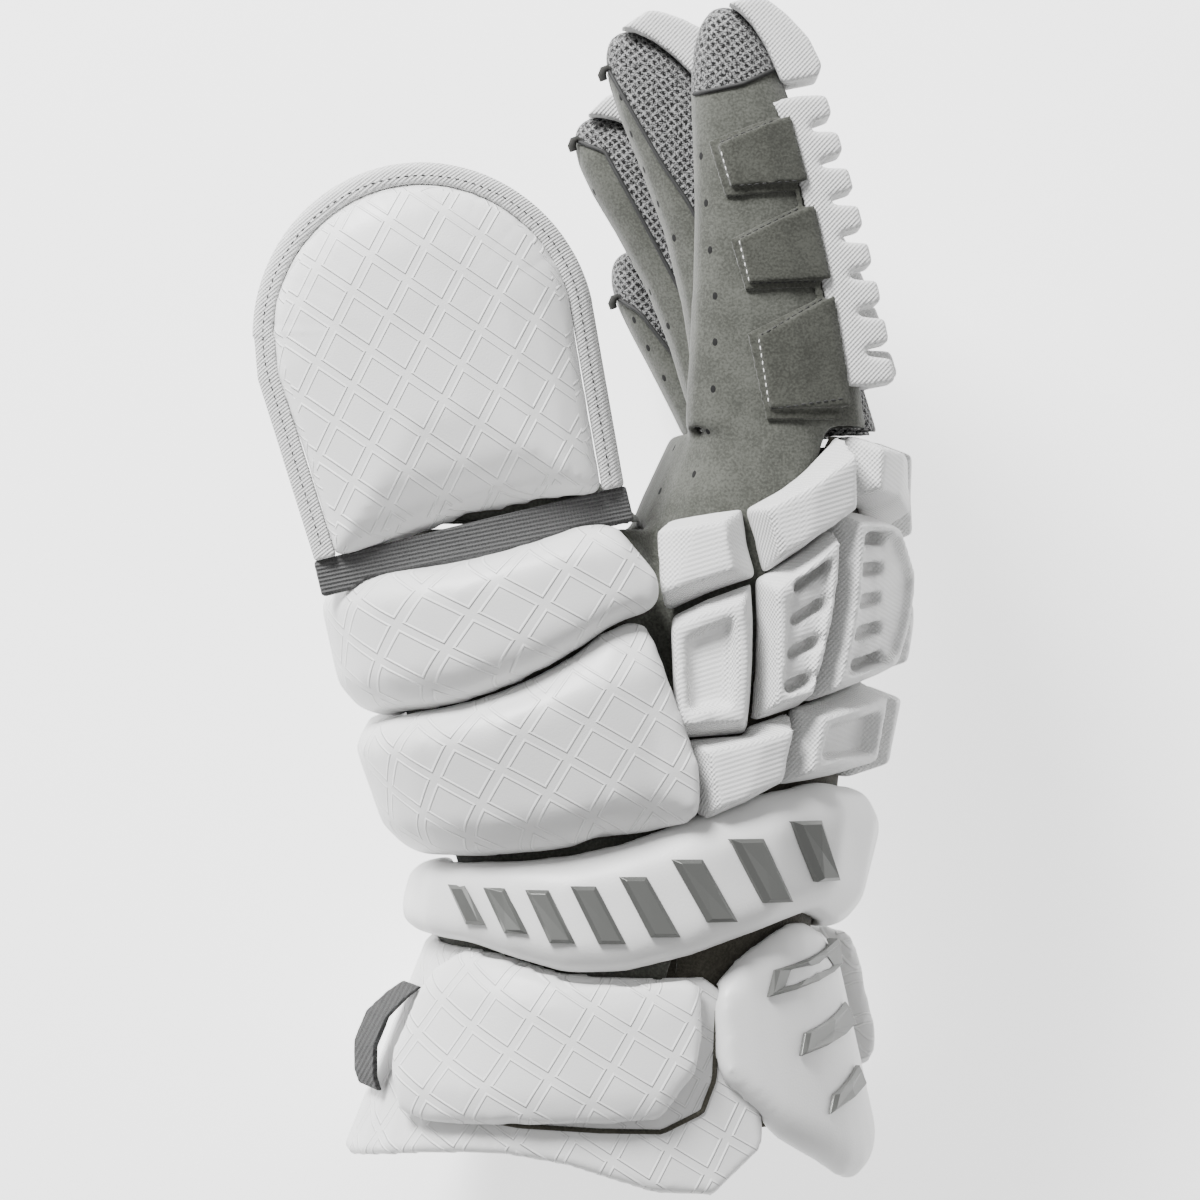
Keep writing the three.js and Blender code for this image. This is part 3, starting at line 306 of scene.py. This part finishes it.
def emboss(finish, height, depth, strength=1.0):
    """Feeds a height into the shader's normal."""
    tree = finish.node_tree
    bump = tree.nodes.new("ShaderNodeBump")
    bump.inputs["Distance"].default_value = depth
    bump.inputs["Strength"].default_value = strength
    tree.links.new(height, bump.inputs["Height"])
    tree.links.new(bump.outputs["Normal"], tree.nodes["Principled BSDF"].inputs["Normal"])


def tint(finish, colour):
    """Feeds a colour into the shader."""
    finish.node_tree.links.new(colour, finish.node_tree.nodes["Principled BSDF"].inputs["Base Color"])


nap, nap_in, nap_out = group(
    "nap",
    [("Place", "Vector", (0, 0, 0)), ("Dark", "Color", (0, 0, 0, 1)), ("Light", "Color", (1, 1, 1, 1))],
    [("Colour", "Color"), ("Height", "Float")],
)
nap_fine = noise(nap, nap_in.outputs["Place"], 0.0007, 3)
nap_soft = noise(nap, nap_in.outputs["Place"], 0.009, 3)
nap_share = math_node(
    nap,
    "ADD",
    math_node(nap, "MULTIPLY", nap_fine, 0.65),
    math_node(nap, "MULTIPLY", nap_soft, 0.35),
)
nap_colour = blend_colours(
    nap,
    remap(nap, nap_share, 0.34, 0.66, 0.0, 1.0),
    nap_in.outputs["Dark"],
    nap_in.outputs["Light"],
)
nap.links.new(nap_colour, nap_out.inputs["Colour"])
nap.links.new(nap_fine, nap_out.inputs["Height"])


def napped(name, dark, light, depth):
    """A brushed finish, such as suede or a lining, with a nap between two colours."""
    made = material(name, light, 0.92, sheen_weight=0.25, sheen_roughness=0.45, specular_ior_level=0.2)
    tree = made.node_tree
    surface = tree.nodes.new("ShaderNodeGroup")
    surface.node_tree = nap
    surface.inputs["Dark"].default_value = (*dark, 1)
    surface.inputs["Light"].default_value = (*light, 1)
    tree.links.new(object_place(tree), surface.inputs["Place"])
    tint(made, surface.outputs["Colour"])
    emboss(made, surface.outputs["Height"], depth)
    return made


suede = napped("suede", (0.052, 0.054, 0.045), (0.1, 0.103, 0.09), 0.00025)
lining = napped("brushed_lining", (0.036, 0.034, 0.026), (0.066, 0.062, 0.049), 0.0003)

for node, finish, slot in (("back_lining", lining, "lining"), ("thumb_stall", suede, "suede")):
    panel = copy_of(node, node + "_panel")
    soften(panel, 0.0013, 14)
    put_on(panel, finish, slot, node)

# Finger stalls
# Each finger is sewn from a suede strip along the palm and a flecked knit over its sides, with the seam left
# standing as a thin dark welt. Small round holes are punched down the suede.
STALLS = {
    "index": [(640, 105), (700, 93), (742, 84), (785, 65), (840, 50)],
    "middle": [(596, 56), (605, 62), (640, 125), (663, 165), (687, 200), (720, 262)],
    "ring": [(566, 138), (575, 140), (605, 152), (640, 215), (680, 290), (720, 365)],
    "pinky": [(595, 287), (602, 288), (640, 312), (685, 370), (720, 425)],
}
HOLES = {
    "index": [
        (701, 156), (706, 203), (710, 250), (715, 296), (715, 342), (713, 389), (708, 432),
        (674, 448), (660, 491), (694, 474),
    ],
    "middle": [(621, 97), (631, 134), (644, 170), (658, 204), (674, 238)],
    "ring": [(594, 192), (611, 226), (630, 259), (650, 292), (668, 326)],
    "pinky": [(634, 320), (648, 348), (664, 378)],
}
KNIT_CELL = 0.0021


def suede_side(mesh, seam):
    """How far each point lies on the suede side of a seam that is drawn in the photograph's pixels."""
    place = np.empty(len(mesh.vertices) * 3)
    mesh.vertices.foreach_get("co", place)
    away = place.reshape(-1, 3) - np.array(CAMERA_PLACE)
    scale = PIXEL_REACH / -away[:, 2] / PIXEL
    seen = np.column_stack([PHOTO_MIDDLE + away[:, 0] * scale, PHOTO_MIDDLE - away[:, 1] * scale])
    nearest = np.full(len(seen), 1e9)
    side = np.zeros(len(seen))
    for start, end in zip(seam[:-1], seam[1:]):
        start, end = np.array(start, float), np.array(end, float)
        along = end - start
        share = np.clip(((seen - start) @ along) / (along @ along), 0, 1)
        gap = seen - (start + share[:, None] * along)
        reach = np.hypot(*gap.T)
        way = np.sign(along[0] * gap[:, 1] - along[1] * gap[:, 0])
        closer = reach < nearest
        side = np.where(closer, way, side)
        nearest = np.minimum(nearest, reach)
    mesh.attributes.new("suede_side", "FLOAT", "POINT").data.foreach_set("value", side * nearest)


line_family, lines_in, lines_out = group(
    "line_family",
    [("Place", "Vector", (0, 0, 0)), ("Angle", "Float", 0.0), ("Spacing", "Float", 0.01)],
    [("Distance", "Float")],
)
lines_split = line_family.nodes.new("ShaderNodeSeparateXYZ")
line_family.links.new(lines_in.outputs["Place"], lines_split.inputs[0])
lines_cosine = math_node(line_family, "COSINE", lines_in.outputs["Angle"])
lines_sine = math_node(line_family, "SINE", lines_in.outputs["Angle"])
lines_across = math_node(
    line_family,
    "SUBTRACT",
    math_node(line_family, "MULTIPLY", lines_split.outputs[1], lines_cosine),
    math_node(line_family, "MULTIPLY", lines_split.outputs[0], lines_sine),
)
lines_half = math_node(line_family, "MULTIPLY", lines_in.outputs["Spacing"], 0.5)
lines_distance = math_node(line_family, "PINGPONG", lines_across, lines_half)
line_family.links.new(lines_distance, lines_out.inputs["Distance"])


def lines(tree, vector, degrees, spacing):
    """The distance to the nearest of a family of parallel lines."""
    made = tree.nodes.new("ShaderNodeGroup")
    made.node_tree = line_family
    made.inputs["Angle"].default_value = math.radians(degrees)
    made.inputs["Spacing"].default_value = spacing
    tree.links.new(vector, made.inputs["Place"])
    return made.outputs["Distance"]


def knit_over_suede():
    """Open flecked knit, which gives way to suede on the palm side of the seam. Its open holes are painted near
    black as shade, and its pale flecks are the yarn's own colour.
    """
    made = material("knit_and_suede", (0.15, 0.15, 0.15), 0.9, sheen_weight=0.2, specular_ior_level=0.25)
    tree = made.node_tree
    flat = stored(tree, "face_place")
    first = math_node(tree, "DIVIDE", lines(tree, flat, 38, KNIT_CELL), KNIT_CELL / 2)
    second = math_node(tree, "DIVIDE", lines(tree, flat, -52, KNIT_CELL * 0.82), KNIT_CELL * 0.41)
    yarn = math_node(tree, "MAXIMUM", first, second)
    loops = noise(tree, object_place(tree), 0.00042, 1)
    flecked = math_node(tree, "ADD", math_node(tree, "MULTIPLY", yarn, 0.42), loops)
    fleck_and_shade = remap(tree, flecked, 0.62, 0.95, 0.0, 1.0)
    # Near black at the knit's open holes is painted shade; the random paler flecks are the yarn's own colour.
    knit_colour = blend_colours(tree, fleck_and_shade, (0.004, 0.004, 0.004), (0.3, 0.3, 0.3))
    surface = tree.nodes.new("ShaderNodeGroup")
    surface.node_tree = nap
    surface.inputs["Dark"].default_value = (0.05, 0.052, 0.044, 1)
    surface.inputs["Light"].default_value = (0.097, 0.1, 0.087, 1)
    tree.links.new(object_place(tree), surface.inputs["Place"])
    on_suede = remap(tree, stored(tree, "suede_side", "Fac"), -0.8, 0.8, 0.0, 1.0)
    tint(made, blend_colours(tree, on_suede, knit_colour, surface.outputs["Colour"]))
    knit_height = math_node(tree, "MULTIPLY", fleck_and_shade, math_node(tree, "SUBTRACT", 1.0, on_suede))
    nap_height = math_node(tree, "MULTIPLY", surface.outputs["Height"], 0.3)
    emboss(made, math_node(tree, "ADD", knit_height, nap_height), 0.0006)
    return made


finger_cloth = knit_over_suede()
dark_thread = material("dark_thread", (0.02, 0.02, 0.02), 0.7)
pale_thread = material("pale_thread", (0.75, 0.75, 0.74), 0.6)
# Painted shade: the punched holes are near-black lenses that stand for the shade inside each hole.
hole_shade = material("punched_hole", (0.006, 0.006, 0.006), 0.95)


def surface_of(*pieces):
    """A search tree over the meshes of some pieces."""
    builder = bmesh.new()
    for piece in pieces:
        builder.from_mesh(piece.data)
    tree = BVHTree.FromBMesh(builder)
    builder.free()
    return tree


def dropped(surface, px, py):
    """The point and normal where a pixel of the photograph falls on a surface, or None."""
    point, normal, _, _ = surface.ray_cast(CAMERA_PLACE, camera_ray(px, py))
    return (point, normal) if point else None


def spaced(path, spacing):
    """Points at an even spacing along a path of points."""
    path = [Vector(point) for point in path]
    result = [path[0].copy()]
    left = spacing
    for start, end in zip(path[:-1], path[1:]):
        length = (end - start).length
        while left <= length:
            result.append(start.lerp(end, left / length))
            left += spacing
        left -= length
    return result


def seat_frame(point, along, normal):
    """A transform that puts X along a seam and Z out of the surface."""
    side = normal.cross(along).normalized()
    ahead = side.cross(normal).normalized()
    return Matrix((ahead, side, normal)).transposed().to_4x4(), point


THREAD_SINK = 0.12
SHORTEST_STEP = 0.2 * MILLIMETRE
LONGEST_STEP = 12 * MILLIMETRE


def sew(name, surface, pixels, finish, slot, pitch, length, width):
    """A row of stitches along a path in the photograph's pixels, each a flattened bead on the surface."""
    builder = bmesh.new()
    spots = [dropped(surface, spot.x, spot.y) for spot in spaced([(*p, 0) for p in pixels], pitch)]
    for first, second in zip(spots[:-1], spots[1:]):
        if not first or not second:
            continue
        along = second[0] - first[0]
        if along.length < SHORTEST_STEP or along.length > LONGEST_STEP:
            continue
        turn, middle = seat_frame((first[0] + second[0]) / 2, along, first[1])
        size = Matrix.Diagonal((length / 2 * MILLIMETRE, width / 2 * MILLIMETRE, width / 2.4 * MILLIMETRE, 1))
        lift = Matrix.Translation(middle + first[1] * (width / 2.4 - THREAD_SINK) * MILLIMETRE)
        bmesh.ops.create_uvsphere(builder, u_segments=8, v_segments=6, radius=1, matrix=lift @ turn @ size)
    mesh = bpy.data.meshes.new(name)
    builder.to_mesh(mesh)
    builder.free()
    stitches = add_object(name, mesh)
    shade_smooth(stitches)
    put_on(stitches, finish, slot)


HOLE_SIZE = Matrix.Diagonal((1.0925 * MILLIMETRE, 0.8075 * MILLIMETRE, 0.06 * MILLIMETRE, 1))


def punch(name, surface, pixels):
    """Small holes at pixels of the photograph, each a shallow lens just proud of the suede, painted near black as
    the shade inside the hole.
    """
    builder = bmesh.new()
    for px, py in pixels:
        spot = dropped(surface, px, py)
        if spot:
            turn, middle = seat_frame(spot[0], Vector((0, 1, 0.01)), spot[1])
            place = Matrix.Translation(middle) @ turn @ HOLE_SIZE
            bmesh.ops.create_uvsphere(builder, u_segments=14, v_segments=6, radius=1, matrix=place)
    mesh = bpy.data.meshes.new(name)
    builder.to_mesh(mesh)
    builder.free()
    holes = add_object(name, mesh)
    shade_smooth(holes)
    put_on(holes, hole_shade, "suede")


def welt(name, paths, radius, finish, slot, swell=(1,)):
    """A thin round cord laid along paths of points, closed at its ends."""
    curve = bpy.data.curves.new(name, "CURVE")
    curve.dimensions = "3D"
    curve.bevel_depth = radius
    curve.bevel_resolution = 3
    curve.use_fill_caps = True
    for path in paths:
        spline = curve.splines.new("POLY")
        spline.points.add(len(path) - 1)
        for step, (spot, point) in enumerate(zip(spline.points, path)):
            spot.co = (*point, 1)
            spot.radius = swell[min(step, len(swell) - 1)]
    rough = bpy.data.objects.new(name, curve)
    bpy.context.scene.collection.objects.link(rough)
    mesh = bpy.data.meshes.new_from_object(rough.evaluated_get(bpy.context.evaluated_depsgraph_get()))
    bpy.data.objects.remove(rough)
    cord = add_object(name, mesh)
    shade_smooth(cord)
    put_on(cord, finish, slot)
    return cord


def joined(first, second, grow):
    """One piece from two closed ones, each grown a little so that their meshes meet."""
    builder = bmesh.new()
    builder.from_mesh(first.data)
    builder.from_mesh(second.data)
    builder.normal_update()
    for spot in builder.verts:
        spot.co += spot.normal * grow
    builder.to_mesh(first.data)
    builder.free()
    bpy.data.objects.remove(second)
    return first


CURL = ((-1.5, -2.6, -0.4), (-2.0, -1.2, 0), (-1.5, 0.3, 0.2), (-0.4, 0.9, 0.2), (0.9, 0.2, 0))
welt_cloth = material("welt_cloth", (0.03, 0.03, 0.028), 0.9)
for finger, seam in STALLS.items():
    stall = copy_of(finger + "_stall", finger + "_stall_cloth")
    if finger == "index":
        stall = joined(stall, copy_of("palm_suede", "palm_cloth"), 0.0003)
        soften(stall, 0.00118, 9)
        put_on(stall, finger_cloth, "suede", "index_stall", "palm_suede")
    else:
        soften(stall, 0.00085, 12)
        put_on(stall, finger_cloth, "knit", finger + "_stall")
    lay_out(stall)
    suede_side(stall.data, seam)
    surface = surface_of(stall)
    middle_z = sum(corner.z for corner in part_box(finger + "_stall")) / 2
    near = [spot for px in spaced([(*p, 0) for p in seam], 7) if (spot := dropped(surface, px.x, px.y))]
    line = [point + normal * 0.0003 for point, normal in near]
    mirrored = [Vector((point.x, point.y, 2 * middle_z - point.z)) for point in line]
    welt(finger + "_seam_welt", [line, mirrored], 0.0006, dark_thread, "knit")
    if finger != "index":
        curl = [line[0] + Vector(step) * MILLIMETRE for step in CURL]
        welt(finger + "_seam_end", [curl], 0.0006, welt_cloth, "knit", (1.9, 2.1, 1.9, 1.5, 0.9))
    punch(finger + "_punched_holes", surface, HOLES[finger])

# Lobes on the index finger
# Three padded lobes of darker suede are laid over the index finger's side and sewn down round their edges, with a
# raw cut flap left outside the stitches.
LOBE_STITCHES = {
    "upper": ([(719, 143), (790, 114), (814, 179), (731, 186)], [(719, 143), (731, 186)]),
    "middle": ([(739, 239), (819, 198), (838, 281), (750, 283)], [(739, 239), (750, 283)]),
    "lower": ([(759, 337), (840, 288), (868, 395), (770, 409)], [(759, 337), (770, 409)]),
}
dark_suede = napped("dark_suede", (0.036, 0.037, 0.031), (0.068, 0.07, 0.06), 0.0002)
overlay = copy_of("index_overlay", "index_lobes")
soften(overlay, 0.00065, 6, 0.51)
put_on(overlay, dark_suede, "suede", "index_overlay")
overlay_surface = surface_of(overlay)
for name, (outline, left_edge) in LOBE_STITCHES.items():
    sew(name + "_lobe_top_stitches", overlay_surface, outline[:2], dark_thread, "suede", 7.5, 1.5, 0.5)
    sew(name + "_lobe_left_stitches", overlay_surface, left_edge, pale_thread, "suede", 7.5, 1.3, 0.45)
    sew(name + "_lobe_foot_stitches", overlay_surface, outline[3:1:-1], dark_thread, "suede", 7.5, 1.5, 0.5)

# Foam strips and tip pads
# Moulded white foam is cut to a comb of rounded teeth and glued down the back of each finger, with a domed pad
# over the tip. The cut faces keep the cross-hatch of the mould.
WHITE_FOAM = (0.7, 0.7, 0.695)
HATCH = 0.00095


def side_share(piece):
    """Stores how far each point's face turns away from straight out of the hand."""
    mesh = piece.data
    values = []
    for spot in mesh.vertices:
        out = Vector((spot.co.x - HAND_MIDDLE.x, 0, spot.co.z - HAND_MIDDLE.z)).normalized()
        values.append(min(max((0.9 - spot.normal.dot(out)) / 0.22, 0), 1))
    mesh.attributes.new("side", "FLOAT", "POINT").data.foreach_set("value", values)


def hatched(name, colour, everywhere, depth):
    """White moulded foam with a fine hatch on its cut faces, or everywhere, and painted shade in the hatch's
    hollows.
    """
    made = material(name, colour, 0.72, specular_ior_level=0.3)
    tree = made.node_tree
    flat = stored(tree, "face_place")
    first = math_node(tree, "DIVIDE", lines(tree, flat, 47, HATCH), HATCH / 2)
    second = math_node(tree, "DIVIDE", lines(tree, flat, -43, HATCH), HATCH / 2)
    weave = math_node(
        tree,
        "ADD",
        math_node(tree, "MULTIPLY", first, 0.7),
        math_node(tree, "MULTIPLY", second, 0.4),
    )
    share = math_node(tree, "MAXIMUM", stored(tree, "side", "Fac"), everywhere)
    height = math_node(tree, "MULTIPLY", weave, share)
    cut_lines = math_node(tree, "MULTIPLY", lines(tree, flat, 17, 0.0013), 0.32 / 0.00065)
    cut_share = math_node(tree, "MULTIPLY", cut_lines, math_node(tree, "SUBTRACT", 1.0, share))
    grain = math_node(tree, "MULTIPLY", noise(tree, object_place(tree), 0.0004, 2), 0.25)
    emboss(made, math_node(tree, "ADD", math_node(tree, "ADD", height, grain), cut_share), depth)
    # Painted shade: the hatch's hollows are tinted darker than the foam.
    darker = tuple(channel * 0.86 for channel in colour)
    hollow_shade = math_node(tree, "MULTIPLY", math_node(tree, "SUBTRACT", 1.1, weave), share)
    tint(made, blend_colours(tree, hollow_shade, colour, darker))
    return made


comb_foam = hatched("comb_foam", WHITE_FOAM, 0.7, 0.00028)
block_foam = hatched("block_foam", (0.76, 0.76, 0.755), 0.0, 0.0003)
for finger in STALLS:
    for part in ("_comb", "_tip_pad"):
        piece = copy_of(finger + part, finger + part + "_foam")
        soften(piece, 0.0008, 7)
        lay_out(piece)
        side_share(piece)
        put_on(piece, comb_foam, "foam", finger + part)

# Foam blocks on the back of the hand
# Each block is pressed from foam with a hatched bevel all round. Some have a window, a row of slots or a recess
# pressed into the top. They are glued to the liner with narrow grooves between them.
LONE_BLOCKS = ("web_pad", "upper_middle_block", "middle_block", "lower_middle_block")
BLOCKS = [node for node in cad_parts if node.endswith(("_near", "_far")) or node in LONE_BLOCKS]
for node in BLOCKS:
    block = copy_of(node, node + "_foam")
    soften(block, 0.00085, 7)
    lay_out(block)
    side_share(block)
    put_on(block, block_foam, "foam", node)

# Thumb pad
# The broad shield over the thumb is white coated leather on foam, embossed with rhombs between thin raised double
# lines. Twill tape binds its edge, with one row of stitches near the tape's inner fold.
RHOMB_LINES = ((-34, 0.0107), (62.6, 0.0119))
CHANNEL = 0.00125
diamond, diamond_in, diamond_out = group(
    "rhomb_emboss", [("Place", "Vector", (0, 0, 0))], [("Ridge", "Float"), ("Height", "Float")]
)
rhomb_sides = [lines(diamond, diamond_in.outputs["Place"], turn, spacing) for turn, spacing in RHOMB_LINES]
rhomb_edge = math_node(diamond, "MINIMUM", *rhomb_sides)
rhomb_offset = math_node(diamond, "ABSOLUTE", math_node(diamond, "SUBTRACT", rhomb_edge, CHANNEL))
rhomb_ridge = remap(diamond, rhomb_offset, 0.0001, 0.00042, 1.0, 0.0)
rhomb_cell = remap(diamond, rhomb_edge, CHANNEL * 0.6, CHANNEL, 0.0, 0.35)
diamond.links.new(rhomb_ridge, diamond_out.inputs["Ridge"])
diamond.links.new(math_node(diamond, "ADD", rhomb_ridge, rhomb_cell), diamond_out.inputs["Height"])


def coated(name, colour, highlight_colour, place, depth):
    """White coated leather with a rhomb emboss laid out by a stored place, and a painted highlight on the raised
    lines.
    """
    made = material(name, colour, 0.42, specular_ior_level=0.45, coat_weight=0.12, coat_roughness=0.35)
    tree = made.node_tree
    pattern = tree.nodes.new("ShaderNodeGroup")
    pattern.node_tree = diamond
    tree.links.new(stored(tree, place), pattern.inputs["Place"])
    # Painted highlight: the raised double lines are tinted lighter than the leather, as if catching the light.
    ridge = math_node(tree, "MULTIPLY", pattern.outputs["Ridge"], 0.6)
    tint(made, blend_colours(tree, ridge, colour, highlight_colour))
    grain = math_node(tree, "MULTIPLY", noise(tree, object_place(tree), 0.0005, 3), 0.22)
    emboss(made, math_node(tree, "ADD", pattern.outputs["Height"], grain), depth)
    return made


PUFF_STEPS = 20


def puff(piece, voxel, cap, fullness):
    """Swells a closed pad by cloth under pressure, up to the cap, then by its fullness all over."""
    even_faces(piece, voxel)
    relax(piece.data, 3, 0.5)
    start = [spot.co - spot.normal * cap * 0.15 for spot in piece.data.vertices]
    for spot, place in zip(piece.data.vertices, start):
        spot.co = place
    cloth = piece.modifiers.new("filling", "CLOTH")
    cloth.settings.use_pressure = True
    cloth.settings.uniform_pressure_force = 4
    cloth.settings.effector_weights.gravity = 0
    cloth.point_cache.frame_end = PUFF_STEPS
    for step in range(1, PUFF_STEPS + 1):
        bpy.context.scene.frame_set(step)
    bake_modifiers(piece)
    bpy.context.scene.frame_set(1)
    for spot, place in zip(piece.data.vertices, start):
        move = spot.co - place
        spot.co = place + move * min(1, cap / max(move.length, 1e-9))
    relax(piece.data, 3, 0.45)
    finer = piece.modifiers.new("finer", "SUBSURF")
    finer.levels = 1
    finer.render_levels = 1
    bake_modifiers(piece)
    for spot in piece.data.vertices:
        spot.co += spot.normal * fullness
    shade_smooth(piece)


WHITE_LEATHER = (0.74, 0.74, 0.735)
# Painted highlight colour for the tops of the raised emboss lines.
EMBOSS_LINE_HIGHLIGHT = (0.93, 0.93, 0.925)
coated_leather = coated("coated_leather", WHITE_LEATHER, EMBOSS_LINE_HIGHLIGHT, "unrolled", 0.00026)
# A lighter copy of the same white leather for the thumb pad: painted light where the key light falls on its face.
lit_thumb_leather = coated("lit_thumb_leather", (0.78, 0.78, 0.775), EMBOSS_LINE_HIGHLIGHT, "face_place", 0.00026)

PAD_MIDDLE = Vector((CAMERA_PLACE.x, CAMERA_PLACE.y, 0)) + Vector((-48.6, 72.6, 127)) * MILLIMETRE
PAD_RADIUS = 47.5 * MILLIMETRE
PAD_TURN = math.radians(13.7)
PAD_LENGTH = 50 * MILLIMETRE
PAD_BASE_SHARE = 44 / 47.5
ARC_STEP = math.pi / 10


def round_arc(piece):
    """Moves the pad's facetted round end out to a true arc."""
    for spot in piece.data.vertices:
        across, along = spot.co.x - PAD_MIDDLE.x, spot.co.y - PAD_MIDDLE.y
        turn = math.atan2(along, across) - PAD_TURN
        if -0.02 < turn < math.pi + 0.02:
            share = math.cos(turn % ARC_STEP - ARC_STEP / 2) / math.cos(ARC_STEP / 2)
            spot.co.x = PAD_MIDDLE.x + across * share
            spot.co.y = PAD_MIDDLE.y + along * share


def taped(name, colour, degrees, spacing, depth, roughness=0.8):
    """Woven tape whose ribs run at an angle, with painted shade in the grooves between the ribs."""
    made = material(name, colour, roughness, specular_ior_level=0.25, sheen_weight=0.1)
    tree = made.node_tree
    rib = math_node(tree, "DIVIDE", lines(tree, object_place(tree), degrees, spacing), spacing / 2)
    cross = math_node(tree, "DIVIDE", lines(tree, object_place(tree), degrees + 90, spacing * 0.8), spacing * 0.4)
    fuzz = noise(tree, object_place(tree), 0.0003, 2)
    height = math_node(tree, "ADD", math_node(tree, "ADD", rib, math_node(tree, "MULTIPLY", cross, 0.3)), fuzz)
    emboss(made, height, depth)
    # Painted shade: the tape is tinted darker where its weave sinks between the ribs.
    darker = tuple(channel * 0.62 for channel in colour)
    tint(made, blend_colours(tree, remap(tree, height, 0.5, 1.4, 0.0, 1.0), darker, colour))
    return made


twill = taped("twill_tape", (0.7, 0.7, 0.695), 38, 0.00085, 0.0003)
thumb_pad = copy_of("thumb_pad", "thumb_pad_cushion")
puff(thumb_pad, 0.0017, 0.0012, 0.0005)
round_arc(thumb_pad)
lay_out(thumb_pad)
put_on(thumb_pad, lit_thumb_leather, "vinyl", "thumb_pad")
binding = copy_of("thumb_binding", "thumb_binding_tape")
soften(binding, 0.0007, 8, 0.51)
round_arc(binding)
put_on(binding, twill, "binding", "thumb_binding")


def pad_outline(inset):
    """The pad's outline an inset inside its edge, from one foot over the top to the other, in pixels."""
    right = Vector((math.cos(PAD_TURN), math.sin(PAD_TURN), 0))
    up = Vector((-math.sin(PAD_TURN), math.cos(PAD_TURN), 0))
    reach = PAD_RADIUS - inset
    arc = [PAD_MIDDLE + (right * math.cos(t) + up * math.sin(t)) * reach for t in np.linspace(0, math.pi, 40)]
    feet = [PAD_MIDDLE + right * side * reach * PAD_BASE_SHARE - up * PAD_LENGTH for side in (1, -1)]
    return [tuple(pixel_of(point)) for point in (feet[0], *arc, feet[1])]


binding_surface = surface_of(binding)
sew("binding_stitches", binding_surface, pad_outline(0.0036), dark_thread, "binding", 8.5, 1.3, 0.42)

# Elastic band
# A wide dark grey elastic crosses the foot of the thumb pad. It is woven with a dozen ribs along its length.
ribbed = taped("ribbed_elastic", (0.1, 0.1, 0.1), 11.5, 0.0011, 0.0004, 0.9)
band = copy_of("thumb_elastic", "thumb_elastic_band")
soften(band, 0.0006, 5, 0.51)
for spot in band.data.vertices:
    spot.co += spot.normal * 0.0004
put_on(band, ribbed, "elastic", "thumb_elastic")

# Rolls
# Two padded rolls of embossed leather wrap the base of the thumb, and a third lies along the little-finger side.
# Each is a filled tube, sewn shut along its hidden edge.
ROLLS = (("roll_upper", 0.0022, 0.001), ("roll_lower", 0.0022, 0.001), ("heel_roll", 0.0012, 0))
for node, cap, fullness in ROLLS:
    roll = copy_of(node, node + "_cushion")
    puff(roll, 0.0024, cap, fullness)
    lay_out(roll)
    put_on(roll, coated_leather, "vinyl", node)

# Wrist bar
# A thick bar of smooth moulded foam bends round the wrist, with a row of slanted silver ribs on its face. The ribs
# are raised, coated and bevelled.
smooth_foam = material("smooth_foam", (0.72, 0.72, 0.715), 0.4, specular_ior_level=0.45)
emboss(smooth_foam, noise(smooth_foam.node_tree, object_place(smooth_foam.node_tree), 0.0006, 3), 0.00006)
silver = material("silver_coat", (0.13, 0.133, 0.127), 0.36, metallic=0.5)
bar = copy_of("wrist_bar", "wrist_bar_foam")
soften(bar, 0.0014, 14)
put_on(bar, smooth_foam, "foam", "wrist_bar")


def bevelled(node, width):
    """A copy of a hard trim piece with a bevel on its sharp edges."""
    piece = copy_of(node, node + "_trim")
    edge = piece.modifiers.new("edge", "BEVEL")
    edge.width = width
    edge.segments = 2
    edge.limit_method = "ANGLE"
    edge.angle_limit = math.radians(25)
    bake_modifiers(piece)
    put_on(piece, silver, "silver", node)


for rib in range(1, 9):
    bevelled(f"bar_rib_{rib}", 0.00045)

# Cuff
# The inner layer flares out to the forearm. A padded side lies over it each way, the near one with a dark cut edge,
# and a shaped plate with three silver bars covers the back. They are coated leather or moulded foam.
flare = copy_of("cuff_flare", "cuff_flare_layer")
soften(flare, 0.001, 12, 0.51)
lay_out(flare)
put_on(flare, coated_leather, "vinyl", "cuff_flare")
for node in ("cuff_side_pad", "cuff_far_pad"):
    side = copy_of(node, node + "_cushion")
    puff(side, 0.0018, 0.0012, 0)
    lay_out(side)
    put_on(side, coated_leather, "vinyl", node)
CUT_EDGE = [
    (398, 1080), (408, 1106), (520, 1126), (600, 1131), (662, 1132), (702, 1112), (714, 1080), (717, 1010),
]
flare_surface = surface_of(flare)
cut_spots = spaced([(*p, 0) for p in CUT_EDGE], 6)
cut_line = [spot for px in cut_spots if (spot := dropped(flare_surface, px.x, px.y))]
welt("side_pad_cut_edge", [[point + normal * 0.0002 for point, normal in cut_line]], 0.0007, lining, "lining")
plate = copy_of("cuff_plate", "cuff_plate_foam")
soften(plate, 0.0011, 12)
put_on(plate, smooth_foam, "foam", "cuff_plate")
for place in ("upper", "middle", "lower"):
    bevelled("plate_trim_" + place, 0.0004)

# Pull tab
# A loop of dark ribbed webbing stands off the cuff's palm side. Its ends are sewn in under the side pad.
webbing = taped("webbing", (0.035, 0.035, 0.035), 62, 0.0012, 0.0004, 0.85)
tab = copy_of("pull_tab", "pull_tab_webbing")
soften(tab, 0.0005, 5, 0.51)
put_on(tab, webbing, "webbing", "pull_tab")
